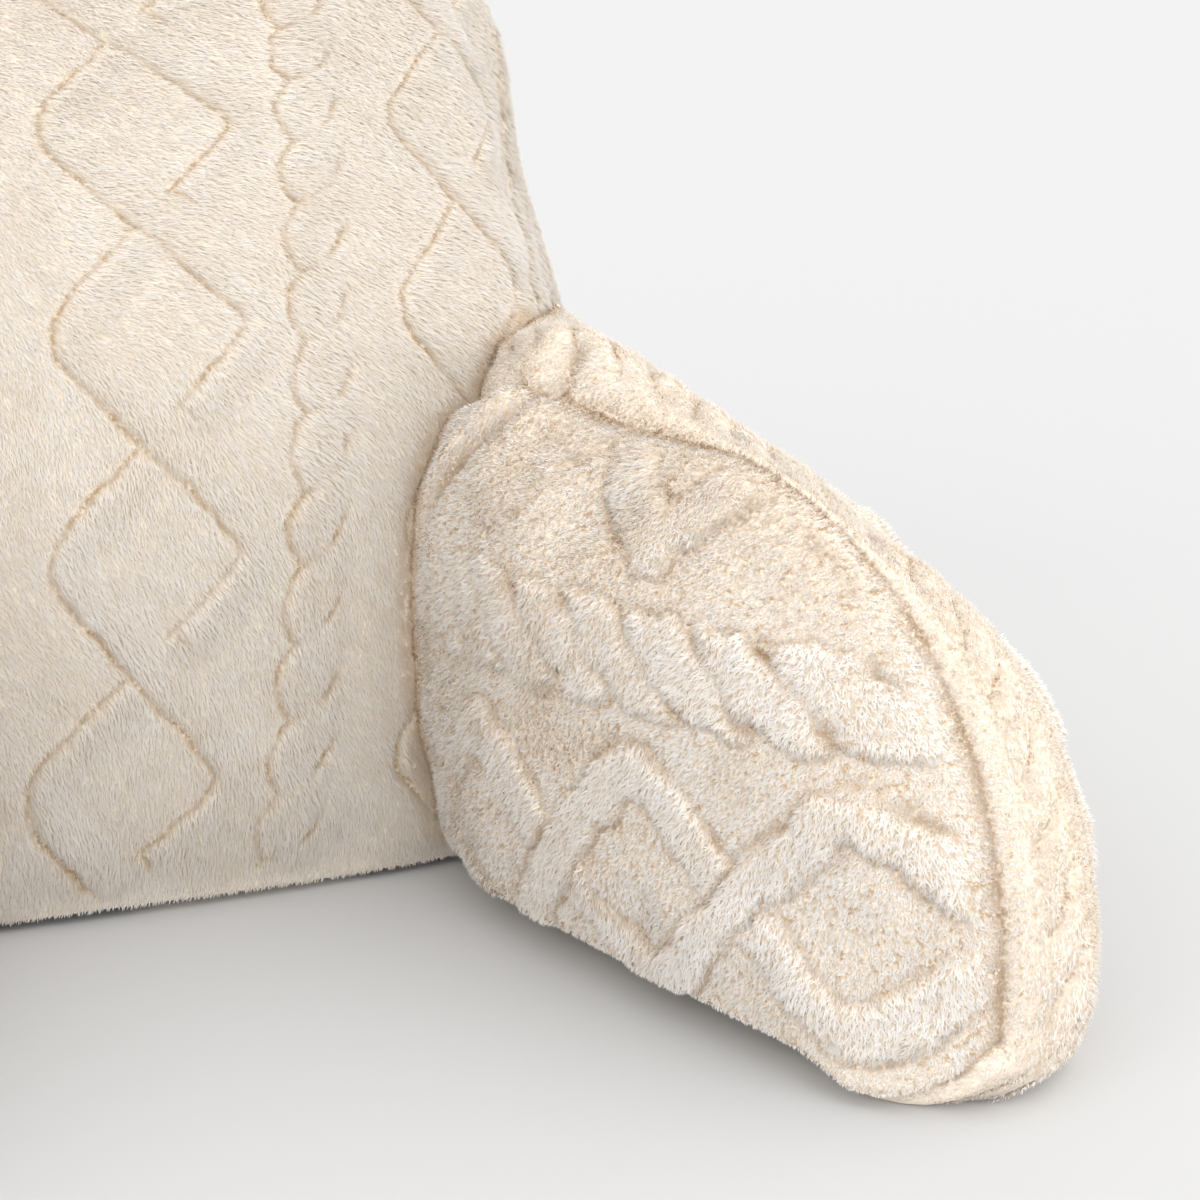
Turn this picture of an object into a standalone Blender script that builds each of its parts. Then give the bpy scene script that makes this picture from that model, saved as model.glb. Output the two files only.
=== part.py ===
"""Cuddle cushion: a backrest pillow with two arms, in sculpted cream plush.

Metres, +Z up.  The cushion faces -Y, stands on z = 0, and is symmetric about x = 0.
Three filled solids: the backrest and its two arms.  Each surface is the reach of the pile.
"""
import math

import bmesh
import bpy
import numpy as np
from mathutils import Vector, geometry

# ---------------------------------------------------------------- driving dimensions
# Backrest.  Its front stands upright at the base and leans back more and more to the top.
FRONT_BASE_Y = -0.006           # front edge of the base panel
FRONT_LENGTH = 0.565            # front panel along its middle, base seam to top seam
LEAN_TABLE = (                  # length along the front panel, lean from upright in degrees
    (0.000, -3.0),
    (0.450, 51.0),
    (0.565, 89.0),
)
REAR_BASE_Y = 0.255             # rear edge of the base panel
REAR_BULGE_LOW_Y = 0.322        # how far the rear panel swells, low down
REAR_BULGE_HIGH_Y = 0.376       # and high up
REAR_BULGE_LOW_Z = 0.100
SIDE_TABLE = (                  # height, half width, depth of the side seam
    (0.000, 0.218, 0.112),
    (0.080, 0.232, 0.126),
    (0.180, 0.238, 0.156),
    (0.240, 0.234, 0.182),
    (0.300, 0.225, 0.212),
    (0.360, 0.226, 0.246),
    (0.440, 0.230, 0.286),
)
CORNER_START = 0.330            # height where the top corners begin to round
CORNER_POWER = 3.6
BASE_FRONT_BOW = 0.025          # depth of the side seam corner behind the straight front base edge
BASE_ROUND = 0.007              # rounding from the base panel up to the front and rear panels
SEAM_PINCH = 0.004              # how far a sewn seam draws the filling in

# Arm.  An inner panel, a boxing strip over the top and down the front end, an outer panel.
# Its own axes: t along the arm from its root, q up its plane, offset away from the sitter.
ARM_ROOT_X = 0.141
ARM_ROOT_Y = 0.004
ARM_SPLAY = 19.0                # degrees, outward from straight ahead
ARM_TILT = 5.0                  # degrees, top leaning away from the sitter
ARM_TAIL = 0.130                # sewn-in length behind the root, trimmed off by the backrest
ARM_LENGTH = 0.296
ARM_ROUND_START = 0.120         # where the top starts to round down to the front end
ARM_ROUND_TOP = 0.217
ARM_ROUND_LOW = 0.030
ARM_TOE_START = 0.262
ARM_SEAM_LIFT = 0.006           # lower seams above the floor
ARM_TABLE = (                   # along, inner seam height, its offset, outer seam drop, its offset, swell
    (-0.130, 0.190, 0.040, -0.058, 0.110, 0.020),
    (-0.060, 0.207, 0.012, -0.036, 0.085, 0.022),
    (-0.020, 0.222, 0.003, -0.016, 0.066, 0.024),
    (0.020, 0.227, 0.000, -0.004, 0.055, 0.025),
    (0.060, 0.224, 0.000, 0.002, 0.050, 0.021),
    (0.120, 0.217, 0.000, 0.008, 0.050, 0.014),
    (0.190, 0.203, 0.000, 0.018, 0.050, 0.011),
    (0.250, 0.157, 0.000, 0.006, 0.053, 0.021),
    (0.296, 0.030, 0.000, 0.000, 0.060, 0.026),
)
ARM_INNER_CROWN = 0.058
ARM_OUTER_CROWN = 0.048
ARM_FOOT_INNER = 0.034          # how far the weight spreads the foot, towards the sitter
ARM_FOOT_OUTER = 0.030          # and away

GAP = 0.0005                    # between an arm and the backrest it is sewn to
CENTRE_Y = 0.01935              # from the root of the arms back to the middle of the whole cushion

BACK_ROWS = 31
BACK_COLUMNS = 64
ARM_EDGE = 0.0145               # facet size on the arms
ARM_HEM = 0.006                 # first row of facets inside a seam


# ---------------------------------------------------------------- backrest form
def front_profile(samples=400):
    """Middle line of the front panel: arrays of y and z along its length."""
    lengths = [row[0] for row in LEAN_TABLE]
    leans = [math.radians(row[1]) for row in LEAN_TABLE]
    s = np.linspace(0.0, FRONT_LENGTH, samples)
    lean = np.interp(s, lengths, leans)
    step = s[1] - s[0]
    middle = 0.5 * (lean[1:] + lean[:-1])
    y = FRONT_BASE_Y + np.concatenate(([0.0], np.cumsum(np.sin(middle) * step)))
    z = np.concatenate(([0.0], np.cumsum(np.cos(middle) * step)))
    return s, y, z


PROFILE_S, PROFILE_Y, PROFILE_Z = front_profile()
TOP_Y = float(PROFILE_Y[-1])
TOP_Z = float(PROFILE_Z[-1])


def smooth_table(x, table, column):
    """Smooth curve through one column of a table whose first column is x."""
    xs = np.array([row[0] for row in table])
    ys = np.array([row[column] for row in table])
    slopes = np.gradient(ys, xs)
    i = np.clip(np.searchsorted(xs, x, side="right") - 1, 0, len(xs) - 2)
    h = xs[i + 1] - xs[i]
    t = np.clip((x - xs[i]) / h, 0.0, 1.0)
    a = 2 * t**3 - 3 * t**2 + 1
    b = t**3 - 2 * t**2 + t
    c = -2 * t**3 + 3 * t**2
    d = t**3 - t**2
    return a * ys[i] + b * h * slopes[i] + c * ys[i + 1] + d * h * slopes[i + 1]


def rear_y(z):
    """Depth of the rear panel's middle line at a height."""
    t = np.linspace(0.0, 1.0, 300)
    y = ((1 - t)**3 * REAR_BASE_Y + 3 * (1 - t)**2 * t * REAR_BULGE_LOW_Y
         + 3 * (1 - t) * t**2 * REAR_BULGE_HIGH_Y + t**3 * TOP_Y)
    h = 3 * (1 - t)**2 * t * REAR_BULGE_LOW_Z + 3 * (1 - t) * t**2 * TOP_Z + t**3 * TOP_Z
    return np.interp(z, h, y)


def half_width(z):
    wide = smooth_table(z, SIDE_TABLE, 1)
    up = np.clip((z - CORNER_START) / (TOP_Z - CORNER_START), 0.0, 1.0)
    return wide * (1.0 - up**CORNER_POWER)**(1.0 / CORNER_POWER)


def back_point(z, phi):
    """Point on the backrest: phi runs -pi..pi, 0 at the front middle, +-pi/2 at the side seams."""
    yf = float(np.interp(z, PROFILE_Z, PROFILE_Y))
    yr = float(rear_y(z))
    ys = min(float(smooth_table(z, SIDE_TABLE, 2)), TOP_Y)
    low = min(z / 0.157, 1.0)
    ys_front = yf + BASE_FRONT_BOW + (ys - yf - BASE_FRONT_BOW) * low
    a = float(half_width(z))
    x = a * math.sin(phi)
    c = math.cos(phi)
    if c >= 0.0:
        # the front is nearly straight along the base and full above it
        depth_front = ys - yf
        straight = 1.0 - low
        y = ys - depth_front * (c**(1.0 - 0.72 * straight))
    else:
        y = ys + (yr - ys) * (-c)**(1.0 - 0.35 * (1.0 - low))
    seam = abs(abs(phi) - math.pi / 2) * a
    pinch = SEAM_PINCH * math.exp(-(seam / 0.012)**2)
    x -= math.copysign(min(pinch, abs(x)), x) if a > 0.03 else 0.0
    # the base edge rounds under
    if z < BASE_ROUND:
        inset = BASE_ROUND - math.sqrt(max(BASE_ROUND**2 - (BASE_ROUND - z)**2, 0.0))
        cx, cy = 0.0, 0.5 * (yf + yr)
        length = math.hypot(x - cx, y - cy)
        x -= (x - cx) / length * inset
        y -= (y - cy) / length * inset
    return Vector((x, y, z))


def back_mesh(inflate=0.0):
    """Closed mesh of the backrest: rows of ovals from the flat base up to the top."""
    bm = bmesh.new()
    low = [0.0, 0.003, 0.007]
    rest = np.linspace(0.016, FRONT_LENGTH, BACK_ROWS)[:-1]
    heights = low + [float(np.interp(s, PROFILE_S, PROFILE_Z)) for s in rest]
    rings = []
    for z in heights:
        ring = []
        for k in range(BACK_COLUMNS):
            phi = math.pi * (2.0 * k / BACK_COLUMNS - 1.0)
            ring.append(bm.verts.new(back_point(z, phi)))
        rings.append(ring)
    for lower, upper in zip(rings[:-1], rings[1:]):
        for k in range(BACK_COLUMNS):
            j = (k + 1) % BACK_COLUMNS
            bm.faces.new((lower[k], lower[j], upper[j], upper[k]))
    top = bm.verts.new(Vector((0.0, TOP_Y, TOP_Z)))
    for k in range(BACK_COLUMNS):
        bm.faces.new((rings[-1][k], rings[-1][(k + 1) % BACK_COLUMNS], top))
    bm.faces.new(list(reversed(rings[0])))
    bmesh.ops.recalc_face_normals(bm, faces=bm.faces)
    if inflate:
        bm.normal_update()
        for v in bm.verts:
            v.co += v.normal * inflate
        for v in bm.verts:
            if v.co.z < 0.004:
                v.co.z -= 0.02
    return bm


# ---------------------------------------------------------------- arm form
def arm_top(t):
    """Height of the inner seam above the floor, along the arm."""
    u = np.clip((t - ARM_ROUND_START) / (ARM_LENGTH - ARM_ROUND_START), 0.0, 1.0)
    arc = ARM_ROUND_LOW + (ARM_ROUND_TOP - ARM_ROUND_LOW) * np.sqrt(1.0 - u * u)
    return np.where(t < ARM_ROUND_START, smooth_table(t, ARM_TABLE, 1), arc)


def arm_bottom(t):
    u = np.clip((t - ARM_TOE_START) / (ARM_LENGTH - ARM_TOE_START), 0.0, 1.0)
    return ARM_SEAM_LIFT + (ARM_ROUND_LOW - ARM_SEAM_LIFT) * (1.0 - np.sqrt(1.0 - u * u))


def arm_outline(edge):
    """Closed outline of an arm panel in its own plane, evenly spaced, anticlockwise."""
    a = np.linspace(0.0, math.pi / 2, 60)
    toe_t = ARM_TOE_START + (ARM_LENGTH - ARM_TOE_START) * np.sin(a)
    toe_q = ARM_SEAM_LIFT + (ARM_ROUND_LOW - ARM_SEAM_LIFT) * (1.0 - np.cos(a))
    nose_t = ARM_ROUND_START + (ARM_LENGTH - ARM_ROUND_START) * np.cos(a)
    nose_q = ARM_ROUND_LOW + (ARM_ROUND_TOP - ARM_ROUND_LOW) * np.sin(a)
    top_t = np.linspace(ARM_ROUND_START, -ARM_TAIL, 60)[1:]
    t = np.concatenate(([-ARM_TAIL], toe_t, nose_t[1:], top_t, [-ARM_TAIL]))
    q = np.concatenate(([ARM_SEAM_LIFT], toe_q, nose_q[1:], arm_top(top_t), [ARM_SEAM_LIFT]))
    length = np.concatenate(([0.0], np.cumsum(np.hypot(np.diff(t), np.diff(q)))))
    count = int(round(length[-1] / edge))
    even = np.arange(count) * length[-1] / count
    return np.column_stack((np.interp(even, length, t), np.interp(even, length, q)))


def arm_shape(t, q):
    """Inner and outer surface over points of the panel: heights and offsets of each."""
    top = arm_top(t)
    low = arm_bottom(t)
    h = np.clip((q - low) / np.maximum(top - low, 1e-6), 0.0, 1.0)
    across = np.sqrt(np.clip(4.0 * h * (1.0 - h), 0.0, 1.0))
    nose = np.clip((t - 0.05) / (ARM_LENGTH - 0.05), 0.0, 1.0)
    root = np.clip((t + 0.03) / 0.10, 0.0, 1.0)
    root = root * root * (3.0 - 2.0 * root)
    inner_along = np.sqrt(np.clip(1.0 - nose**2.6, 0.0, 1.0)) * (0.72 + 0.28 * root)
    outer_along = np.sqrt(np.clip(1.0 - nose**4.5, 0.0, 1.0)) * (0.80 + 0.20 * root)
    foot = np.clip(1.0 - h * 2.0, 0.0, 1.0)**2 * np.clip((ARM_LENGTH + 0.004 - t) / 0.036, 0.0, 1.0)**0.5
    seam_in = smooth_table(t, ARM_TABLE, 2)
    seam_out = smooth_table(t, ARM_TABLE, 4)
    drop = smooth_table(t, ARM_TABLE, 3)
    inner_offset = (seam_in * h**2 - ARM_INNER_CROWN * across * inner_along
                    - ARM_FOOT_INNER * foot * (0.35 + 0.65 * root))
    outer_offset = (0.050 + (seam_out - 0.050) * h**2 + ARM_OUTER_CROWN * across * outer_along
                    + ARM_FOOT_OUTER * foot)
    return q, inner_offset, q - drop * h**3, outer_offset


def inside_outline(outline, x, y):
    a = outline
    b = np.roll(outline, -1, axis=0)
    crossing = (a[:, 1] > y) != (b[:, 1] > y)
    rise = np.where(crossing, b[:, 1] - a[:, 1], 1.0)
    at = a[:, 0] + (y - a[:, 1]) / rise * (b[:, 0] - a[:, 0])
    return np.count_nonzero(crossing & (at > x)) % 2 == 1


def outward(outline):
    """Outward direction at every point of an anticlockwise outline."""
    run = np.roll(outline, -1, axis=0) - np.roll(outline, 1, axis=0)
    normal = np.column_stack((run[:, 1], -run[:, 0]))
    return normal / np.hypot(normal[:, 0], normal[:, 1])[:, None]


def panel_grid(outline, edge):
    """Triangles that fill an outline, with even points inside it."""
    count = len(outline)
    lo = outline.min(axis=0)
    hi = outline.max(axis=0)
    inside = [tuple(p) for p in outline - outward(outline) * ARM_HEM]
    row = 0
    y = lo[1] + edge * 0.8
    a = outline
    b = np.roll(outline, -1, axis=0)
    while y < hi[1] - edge * 0.4:
        x = lo[0] + edge * (0.8 if row % 2 else 1.3)
        while x < hi[0] - edge * 0.4:
            p = np.array((x, y))
            ab = b - a
            f = np.clip(((p - a) * ab).sum(1) / (ab * ab).sum(1), 0.0, 1.0)
            gap = np.hypot(*(a + ab * f[:, None] - p).T).min()
            if gap > edge * 0.5 + ARM_HEM and inside_outline(outline, x, y):
                inside.append((x, y))
            x += edge
        y += edge * 0.866
        row += 1
    points = [Vector(p) for p in outline] + [Vector(p) for p in inside]
    edges = [(k, (k + 1) % count) for k in range(count)]
    out = geometry.delaunay_2d_cdt(points, edges, [], 1, 1e-7, True)
    order = [ids[0] for ids in out[3]]
    grid = np.zeros((len(out[0]), 2))
    for new, old in enumerate(order):
        grid[old] = out[0][new]
    faces = [tuple(order[v] for v in face) for face in out[2]]
    middles = [grid[list(face)].mean(axis=0) for face in faces]
    return grid, [face for face, m in zip(faces, middles) if inside_outline(outline, *m)]


def arm_frame():
    s = math.radians(ARM_SPLAY)
    tilt = math.radians(ARM_TILT)
    along = Vector((math.sin(s), -math.cos(s), 0.0))
    out = Vector((math.cos(s), math.sin(s), 0.0))
    up = Vector((0.0, 0.0, math.cos(tilt))) + out * math.sin(tilt)
    away = out * math.cos(tilt) - Vector((0.0, 0.0, math.sin(tilt)))
    return Vector((ARM_ROOT_X, ARM_ROOT_Y, 0.0)), along, up, away


def arm_mesh(side):
    """Closed mesh of one arm before the backrest trims its root."""
    root, along, up, away = arm_frame()
    outline = arm_outline(ARM_EDGE)
    grid, faces = panel_grid(outline, ARM_EDGE)
    count = len(outline)
    q_in, off_in, q_out, off_out = arm_shape(grid[:, 0], grid[:, 1])
    bm = bmesh.new()

    def place(t, q, offset):
        p = root + along * float(t) + up * float(q) + away * float(offset)
        return bm.verts.new(Vector((p.x * side, p.y, p.z)))

    inner = [place(*row) for row in zip(grid[:, 0], q_in, off_in)]
    outer = [place(*row) for row in zip(grid[:, 0], q_out, off_out)]
    for f in faces:
        bm.faces.new([inner[v] for v in f])
        bm.faces.new([outer[v] for v in reversed(f)])
    # the boxing strip swells outward between its two seams
    normal = outward(outline)
    swell = smooth_table(outline[:, 0], ARM_TABLE, 5)
    rows = [inner[:count]]
    for k in (1, 2, 3):
        f = k / 4.0
        ring = []
        for j in range(count):
            t, q = outline[j] + normal[j] * swell[j] * math.sin(math.pi * f)**0.6
            q += (q_in[j] * (1 - f) + q_out[j] * f) - outline[j][1]
            ring.append(place(t, q, off_in[j] * (1 - f) + off_out[j] * f))
        rows.append(ring)
    rows.append(outer[:count])
    for a, b in zip(rows[:-1], rows[1:]):
        for j in range(count):
            k = (j + 1) % count
            bm.faces.new((a[j], b[j], b[k], a[k]))
    bmesh.ops.recalc_face_normals(bm, faces=bm.faces)
    # the arm stands on a flat underside
    geom = list(bm.verts) + list(bm.edges) + list(bm.faces)
    cut = bmesh.ops.bisect_plane(bm, geom=geom, dist=1e-6, plane_co=(0, 0, 0),
                                 plane_no=(0, 0, -1), clear_outer=True)
    rim = [e for e in cut["geom_cut"] if isinstance(e, bmesh.types.BMEdge)]
    bmesh.ops.holes_fill(bm, edges=rim)
    bmesh.ops.recalc_face_normals(bm, faces=bm.faces)
    return bm


# ---------------------------------------------------------------- objects
def plush(name, colour):
    mat = bpy.data.materials.new(name)
    mat.use_nodes = True
    shader = mat.node_tree.nodes["Principled BSDF"]
    shader.inputs["Base Color"].default_value = colour
    shader.inputs["Roughness"].default_value = 0.95
    shader.inputs["Metallic"].default_value = 0.0
    return mat


def add_object(name, bm, material):
    mesh = bpy.data.meshes.new(name)
    bmesh.ops.translate(bm, vec=(0.0, -CENTRE_Y, 0.0), verts=bm.verts)
    bmesh.ops.triangulate(bm, faces=bm.faces)
    bm.to_mesh(mesh)
    bm.free()
    obj = bpy.data.objects.new(name, mesh)
    bpy.context.scene.collection.objects.link(obj)
    mesh.materials.append(material)
    return obj


def subtract(obj, cutter):
    """Take the cutter's volume out of the object's mesh for good."""
    mod = obj.modifiers.new("trim", "BOOLEAN")
    mod.operation = "DIFFERENCE"
    mod.solver = "EXACT"
    mod.object = cutter
    bpy.context.view_layer.update()
    done = bpy.data.meshes.new_from_object(obj.evaluated_get(bpy.context.evaluated_depsgraph_get()))
    obj.modifiers.clear()
    material = obj.data.materials[0]
    obj.data = done
    done.materials.clear()
    done.materials.append(material)


def largest_shell(obj):
    """Keep the one shell that is the part, without the sliver the trim can leave."""
    bm = bmesh.new()
    bm.from_mesh(obj.data)
    bmesh.ops.remove_doubles(bm, verts=bm.verts, dist=5e-5)
    bmesh.ops.dissolve_degenerate(bm, edges=bm.edges, dist=5e-5)
    left = set(bm.faces)
    shells = []
    while left:
        stack = [left.pop()]
        shell = list(stack)
        while stack:
            face = stack.pop()
            for edge in face.edges:
                for other in edge.link_faces:
                    if other in left:
                        left.remove(other)
                        stack.append(other)
                        shell.append(other)
        shells.append(shell)
    shells.sort(key=len, reverse=True)
    for shell in shells[1:]:
        bmesh.ops.delete(bm, geom=shell, context="FACES")
    bmesh.ops.triangulate(bm, faces=bm.faces)
    bmesh.ops.recalc_face_normals(bm, faces=bm.faces)
    bm.to_mesh(obj.data)
    bm.free()


for obj in list(bpy.data.objects):
    bpy.data.objects.remove(obj, do_unlink=True)

add_object("backrest", back_mesh(), plush("cream plush, backrest", (0.78, 0.70, 0.58, 1.0)))
trim = add_object("trim", back_mesh(inflate=GAP + 0.0002), plush("trim", (0.5, 0.5, 0.5, 1.0)))
for node, side in (("arm_left", -1.0), ("arm_right", 1.0)):
    arm = add_object(node, arm_mesh(side), plush("cream plush, " + node, (0.77, 0.69, 0.57, 1.0)))
    subtract(arm, trim)
    largest_shell(arm)
bpy.data.objects.remove(trim, do_unlink=True)
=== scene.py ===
# %% [markdown]
# # A cuddle cushion in sculpted plush
# A cuddle cushion is a backrest pillow with two arms, for sitting up in bed.  This one is sewn from cream
# polyester plush that is sculpted with diamonds and rope cables.  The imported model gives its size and
# place.  This lesson builds what shows over it: the filled covers, the sculpted relief, and the pile
# itself, blade by blade.  Every length is in metres.

# %% Load the frame
import math

import bpy
import numpy as np
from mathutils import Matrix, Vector
from mathutils.bvhtree import BVHTree
from mathutils.kdtree import KDTree


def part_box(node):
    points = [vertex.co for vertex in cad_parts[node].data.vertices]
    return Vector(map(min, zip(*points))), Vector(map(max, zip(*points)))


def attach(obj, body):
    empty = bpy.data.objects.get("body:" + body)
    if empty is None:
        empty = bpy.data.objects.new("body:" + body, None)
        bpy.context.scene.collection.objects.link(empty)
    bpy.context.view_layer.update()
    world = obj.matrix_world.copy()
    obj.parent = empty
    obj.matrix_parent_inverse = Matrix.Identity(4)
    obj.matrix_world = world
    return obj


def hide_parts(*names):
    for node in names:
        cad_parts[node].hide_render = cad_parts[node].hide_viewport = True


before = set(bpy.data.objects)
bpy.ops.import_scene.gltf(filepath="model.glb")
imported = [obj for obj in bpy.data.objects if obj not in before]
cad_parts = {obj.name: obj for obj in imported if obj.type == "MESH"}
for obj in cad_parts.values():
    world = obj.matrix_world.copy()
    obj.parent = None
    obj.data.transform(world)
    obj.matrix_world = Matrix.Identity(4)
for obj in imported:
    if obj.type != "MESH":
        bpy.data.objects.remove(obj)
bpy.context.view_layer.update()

for node in ("backrest", "arm_left", "arm_right"):
    low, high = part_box(node)
    print(node, [round(v, 3) for v in low], [round(v, 3) for v in high])

# %% [markdown]
# ## Camera
# The camera looks down on the cushion a little, from the front left.  It stands so near that the floor
# fills the whole view behind the cushion, and the cushion's top and left are out of view.

# %% Camera
CAMERA_AT = (-0.16538, -0.96269, 0.43208)
CAMERA_TURN = math.radians(-20.7)
CAMERA_DOWN = math.radians(16.98)
CAMERA_LENS = 68.9
SENSOR_WIDTH = 36.0


def add_camera():
    data = bpy.data.cameras.new("camera")
    data.lens = CAMERA_LENS
    data.sensor_width = SENSOR_WIDTH
    data.clip_start = 0.05
    camera = bpy.data.objects.new("camera", data)
    camera.location = CAMERA_AT
    camera.rotation_euler = (math.pi / 2 - CAMERA_DOWN, 0.0, CAMERA_TURN)
    bpy.context.scene.collection.objects.link(camera)
    bpy.context.scene.camera = camera
    return camera


camera = add_camera()
print("camera looks along", [round(v, 3) for v in camera.rotation_euler])

# %% [markdown]
# ## Small helpers
# One helper turns a colour's hex name into the linear values that Blender mixes, and one adds a shader
# node in a single call.  Others turn numpy arrays into meshes, because a few hundred thousand blades are
# only quick to make as arrays.  The last ones are the soft steps, bumps and noise that shape everything.

# %% Colours and shader nodes
def srgb(text):
    """A colour like "f3ece2" as linear red, green, blue and alpha."""
    parts = [int(text[k:k + 2], 16) / 255.0 for k in (0, 2, 4)]
    return [v / 12.92 if v <= 0.04045 else ((v + 0.055) / 1.055)**2.4 for v in parts] + [1.0]


def add_node(tree, kind, settings=None, inputs=None):
    """One node with its settings, and its inputs given as values or as sockets to link from."""
    node = tree.nodes.new(kind)
    for key, value in (settings or {}).items():
        setattr(node, key, value)
    for key, value in (inputs or {}).items():
        if isinstance(value, bpy.types.NodeSocket):
            tree.links.new(value, node.inputs[key])
        else:
            node.inputs[key].default_value = value
    return node


def new_material(name, settings):
    """A material with its main shader set; returned with its node tree and that shader."""
    mat = bpy.data.materials.new(name)
    mat.use_nodes = True
    shader = mat.node_tree.nodes["Principled BSDF"]
    for key, value in settings.items():
        shader.inputs[key].default_value = value
    return mat, mat.node_tree, shader


print("mid grey is", round(srgb("808080")[0], 3), "in linear light")

# %% Meshes from arrays
def new_object(name, mesh):
    obj = bpy.data.objects.new(name, mesh)
    bpy.context.scene.collection.objects.link(obj)
    return obj


def triangle_mesh(name, points, corners):
    """A mesh from numpy arrays: points (n, 3) and triangles (m, 3)."""
    mesh = bpy.data.meshes.new(name)
    mesh.vertices.add(len(points))
    mesh.vertices.foreach_set("co", points.astype(np.float32).ravel())
    mesh.loops.add(corners.size)
    mesh.loops.foreach_set("vertex_index", corners.astype(np.int32).ravel())
    mesh.polygons.add(len(corners))
    mesh.polygons.foreach_set("loop_start", np.arange(0, corners.size, 3, dtype=np.int32))
    mesh.update(calc_edges=True)
    return mesh


def read(items, key, width=1, kind=np.float32):
    """One value of each item of a mesh, or one vector so many values wide, as an array."""
    values = np.zeros(len(items) * width, kind)
    items.foreach_get(key, values)
    return values.reshape(-1, width) if width > 1 else values


def set_attribute(mesh, name, values):
    layer = mesh.attributes.new(name, "FLOAT", "POINT")
    layer.data.foreach_set("value", values.astype(np.float32))


def tree_of(points):
    """A search tree that finds the nearest of many points."""
    tree = KDTree(len(points))
    for k, p in enumerate(points):
        tree.insert(p, k)
    tree.balance()
    return tree


print("the nearest of two points is number", tree_of([(0, 0, 0), (1, 0, 0)]).find((0.9, 0, 0))[1])

# %% Steps, bumps and noise
NOISE_CELLS = 128  # the noise repeats after this many cells
NOISE_ORIGIN = 1000.0  # keeps the cell numbers above zero


def unit(v):
    return v / np.maximum(np.linalg.norm(v, axis=-1, keepdims=True), 1e-9)


def smooth_step(x, low, high):
    t = np.clip((x - low) / (high - low), 0.0, 1.0)
    return t * t * (3.0 - 2.0 * t)


def bump(x, width):
    """A soft bump of height 1 round x = 0."""
    return np.exp(-(x / width)**2)


def noise(x, y, cell, seed):
    """Smooth random values from -1 to 1 over a plane, with a new value every cell."""
    table = np.random.default_rng(seed).uniform(-1.0, 1.0, (NOISE_CELLS, NOISE_CELLS))
    gx = np.asarray(x) / cell + NOISE_ORIGIN
    gy = np.asarray(y) / cell + NOISE_ORIGIN
    ix = np.floor(gx).astype(int)
    iy = np.floor(gy).astype(int)
    fx = gx - ix
    fy = gy - iy
    fx = fx * fx * (3.0 - 2.0 * fx)
    fy = fy * fy * (3.0 - 2.0 * fy)
    a = table[ix % NOISE_CELLS, iy % NOISE_CELLS]
    b = table[(ix + 1) % NOISE_CELLS, iy % NOISE_CELLS]
    c = table[ix % NOISE_CELLS, (iy + 1) % NOISE_CELLS]
    d = table[(ix + 1) % NOISE_CELLS, (iy + 1) % NOISE_CELLS]
    return (a * (1 - fx) + b * fx) * (1 - fy) + (c * (1 - fx) + d * fx) * fy


print("noise at three places", noise(np.array([0.0, 0.01, 0.02]), 0.0, 0.02, 1).round(2))

# %% [markdown]
# ## The filled forms
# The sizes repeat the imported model's, so the covers fit its solids.  The backrest's front panel stands
# upright at its base and leans back more and more to its top, and its outline narrows above the arms.
# Each arm has an inner panel, an outer panel, and a boxing strip between them that runs over the top and
# down the front end.  Formulas over short tables suit such forms, because every point of the cover can
# then be worked out from its place on the cloth.

# %% Sizes of the backrest
PILE_REACH = 0.004  # the backing cloth lies this far inside the solid
CENTRE_Y = 0.01935  # from the sewing plan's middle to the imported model's
FRONT_BASE_Y = -0.006
FRONT_LENGTH = 0.565
LEAN_TABLE = ((0.000, -3.0), (0.450, 51.0), (0.565, 89.0))  # length along the front, lean
REAR_BASE_Y = 0.255
REAR_BULGE_LOW_Y = 0.322
REAR_BULGE_HIGH_Y = 0.376
REAR_BULGE_LOW_Z = 0.100
SIDE_TABLE = (  # height, half width, depth of the side seam
    (0.000, 0.218, 0.112),
    (0.080, 0.232, 0.126),
    (0.180, 0.238, 0.156),
    (0.240, 0.234, 0.182),
    (0.300, 0.225, 0.212),
    (0.360, 0.226, 0.246),
    (0.440, 0.230, 0.286),
)
CORNER_START = 0.330  # height where the round top corners begin
CORNER_POWER = 3.6
SQUARE_BELOW = 0.157  # height under which the plan grows squarer
FRONT_SQUARE = 0.72  # and how much, in front and behind
REAR_SQUARE = 0.35
BASE_ROUND = 0.007


def smooth_table(x, table, column):
    """Smooth curve through one column of a table whose first column is x."""
    xs = np.array([row[0] for row in table])
    ys = np.array([row[column] for row in table])
    slopes = np.gradient(ys, xs)
    i = np.clip(np.searchsorted(xs, x, side="right") - 1, 0, len(xs) - 2)
    h = xs[i + 1] - xs[i]
    t = np.clip((x - xs[i]) / h, 0.0, 1.0)
    a = 2 * t**3 - 3 * t**2 + 1
    b = t**3 - 2 * t**2 + t
    c = -2 * t**3 + 3 * t**2
    d = t**3 - t**2
    return a * ys[i] + b * h * slopes[i] + c * ys[i + 1] + d * h * slopes[i + 1]


def front_profile(samples=800):
    """Middle line of the front panel: lengths, depths and heights."""
    s = np.linspace(0.0, FRONT_LENGTH, samples)
    lean = np.radians(np.interp(s, *zip(*LEAN_TABLE)))
    step = s[1] - s[0]
    middle = 0.5 * (lean[1:] + lean[:-1])
    y = FRONT_BASE_Y + np.concatenate(([0.0], np.cumsum(np.sin(middle) * step)))
    z = np.concatenate(([0.0], np.cumsum(np.cos(middle) * step)))
    return s, y, z


PROFILE_S, PROFILE_Y, PROFILE_Z = front_profile()
TOP_Y = float(PROFILE_Y[-1])
TOP_Z = float(PROFILE_Z[-1])


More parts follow.
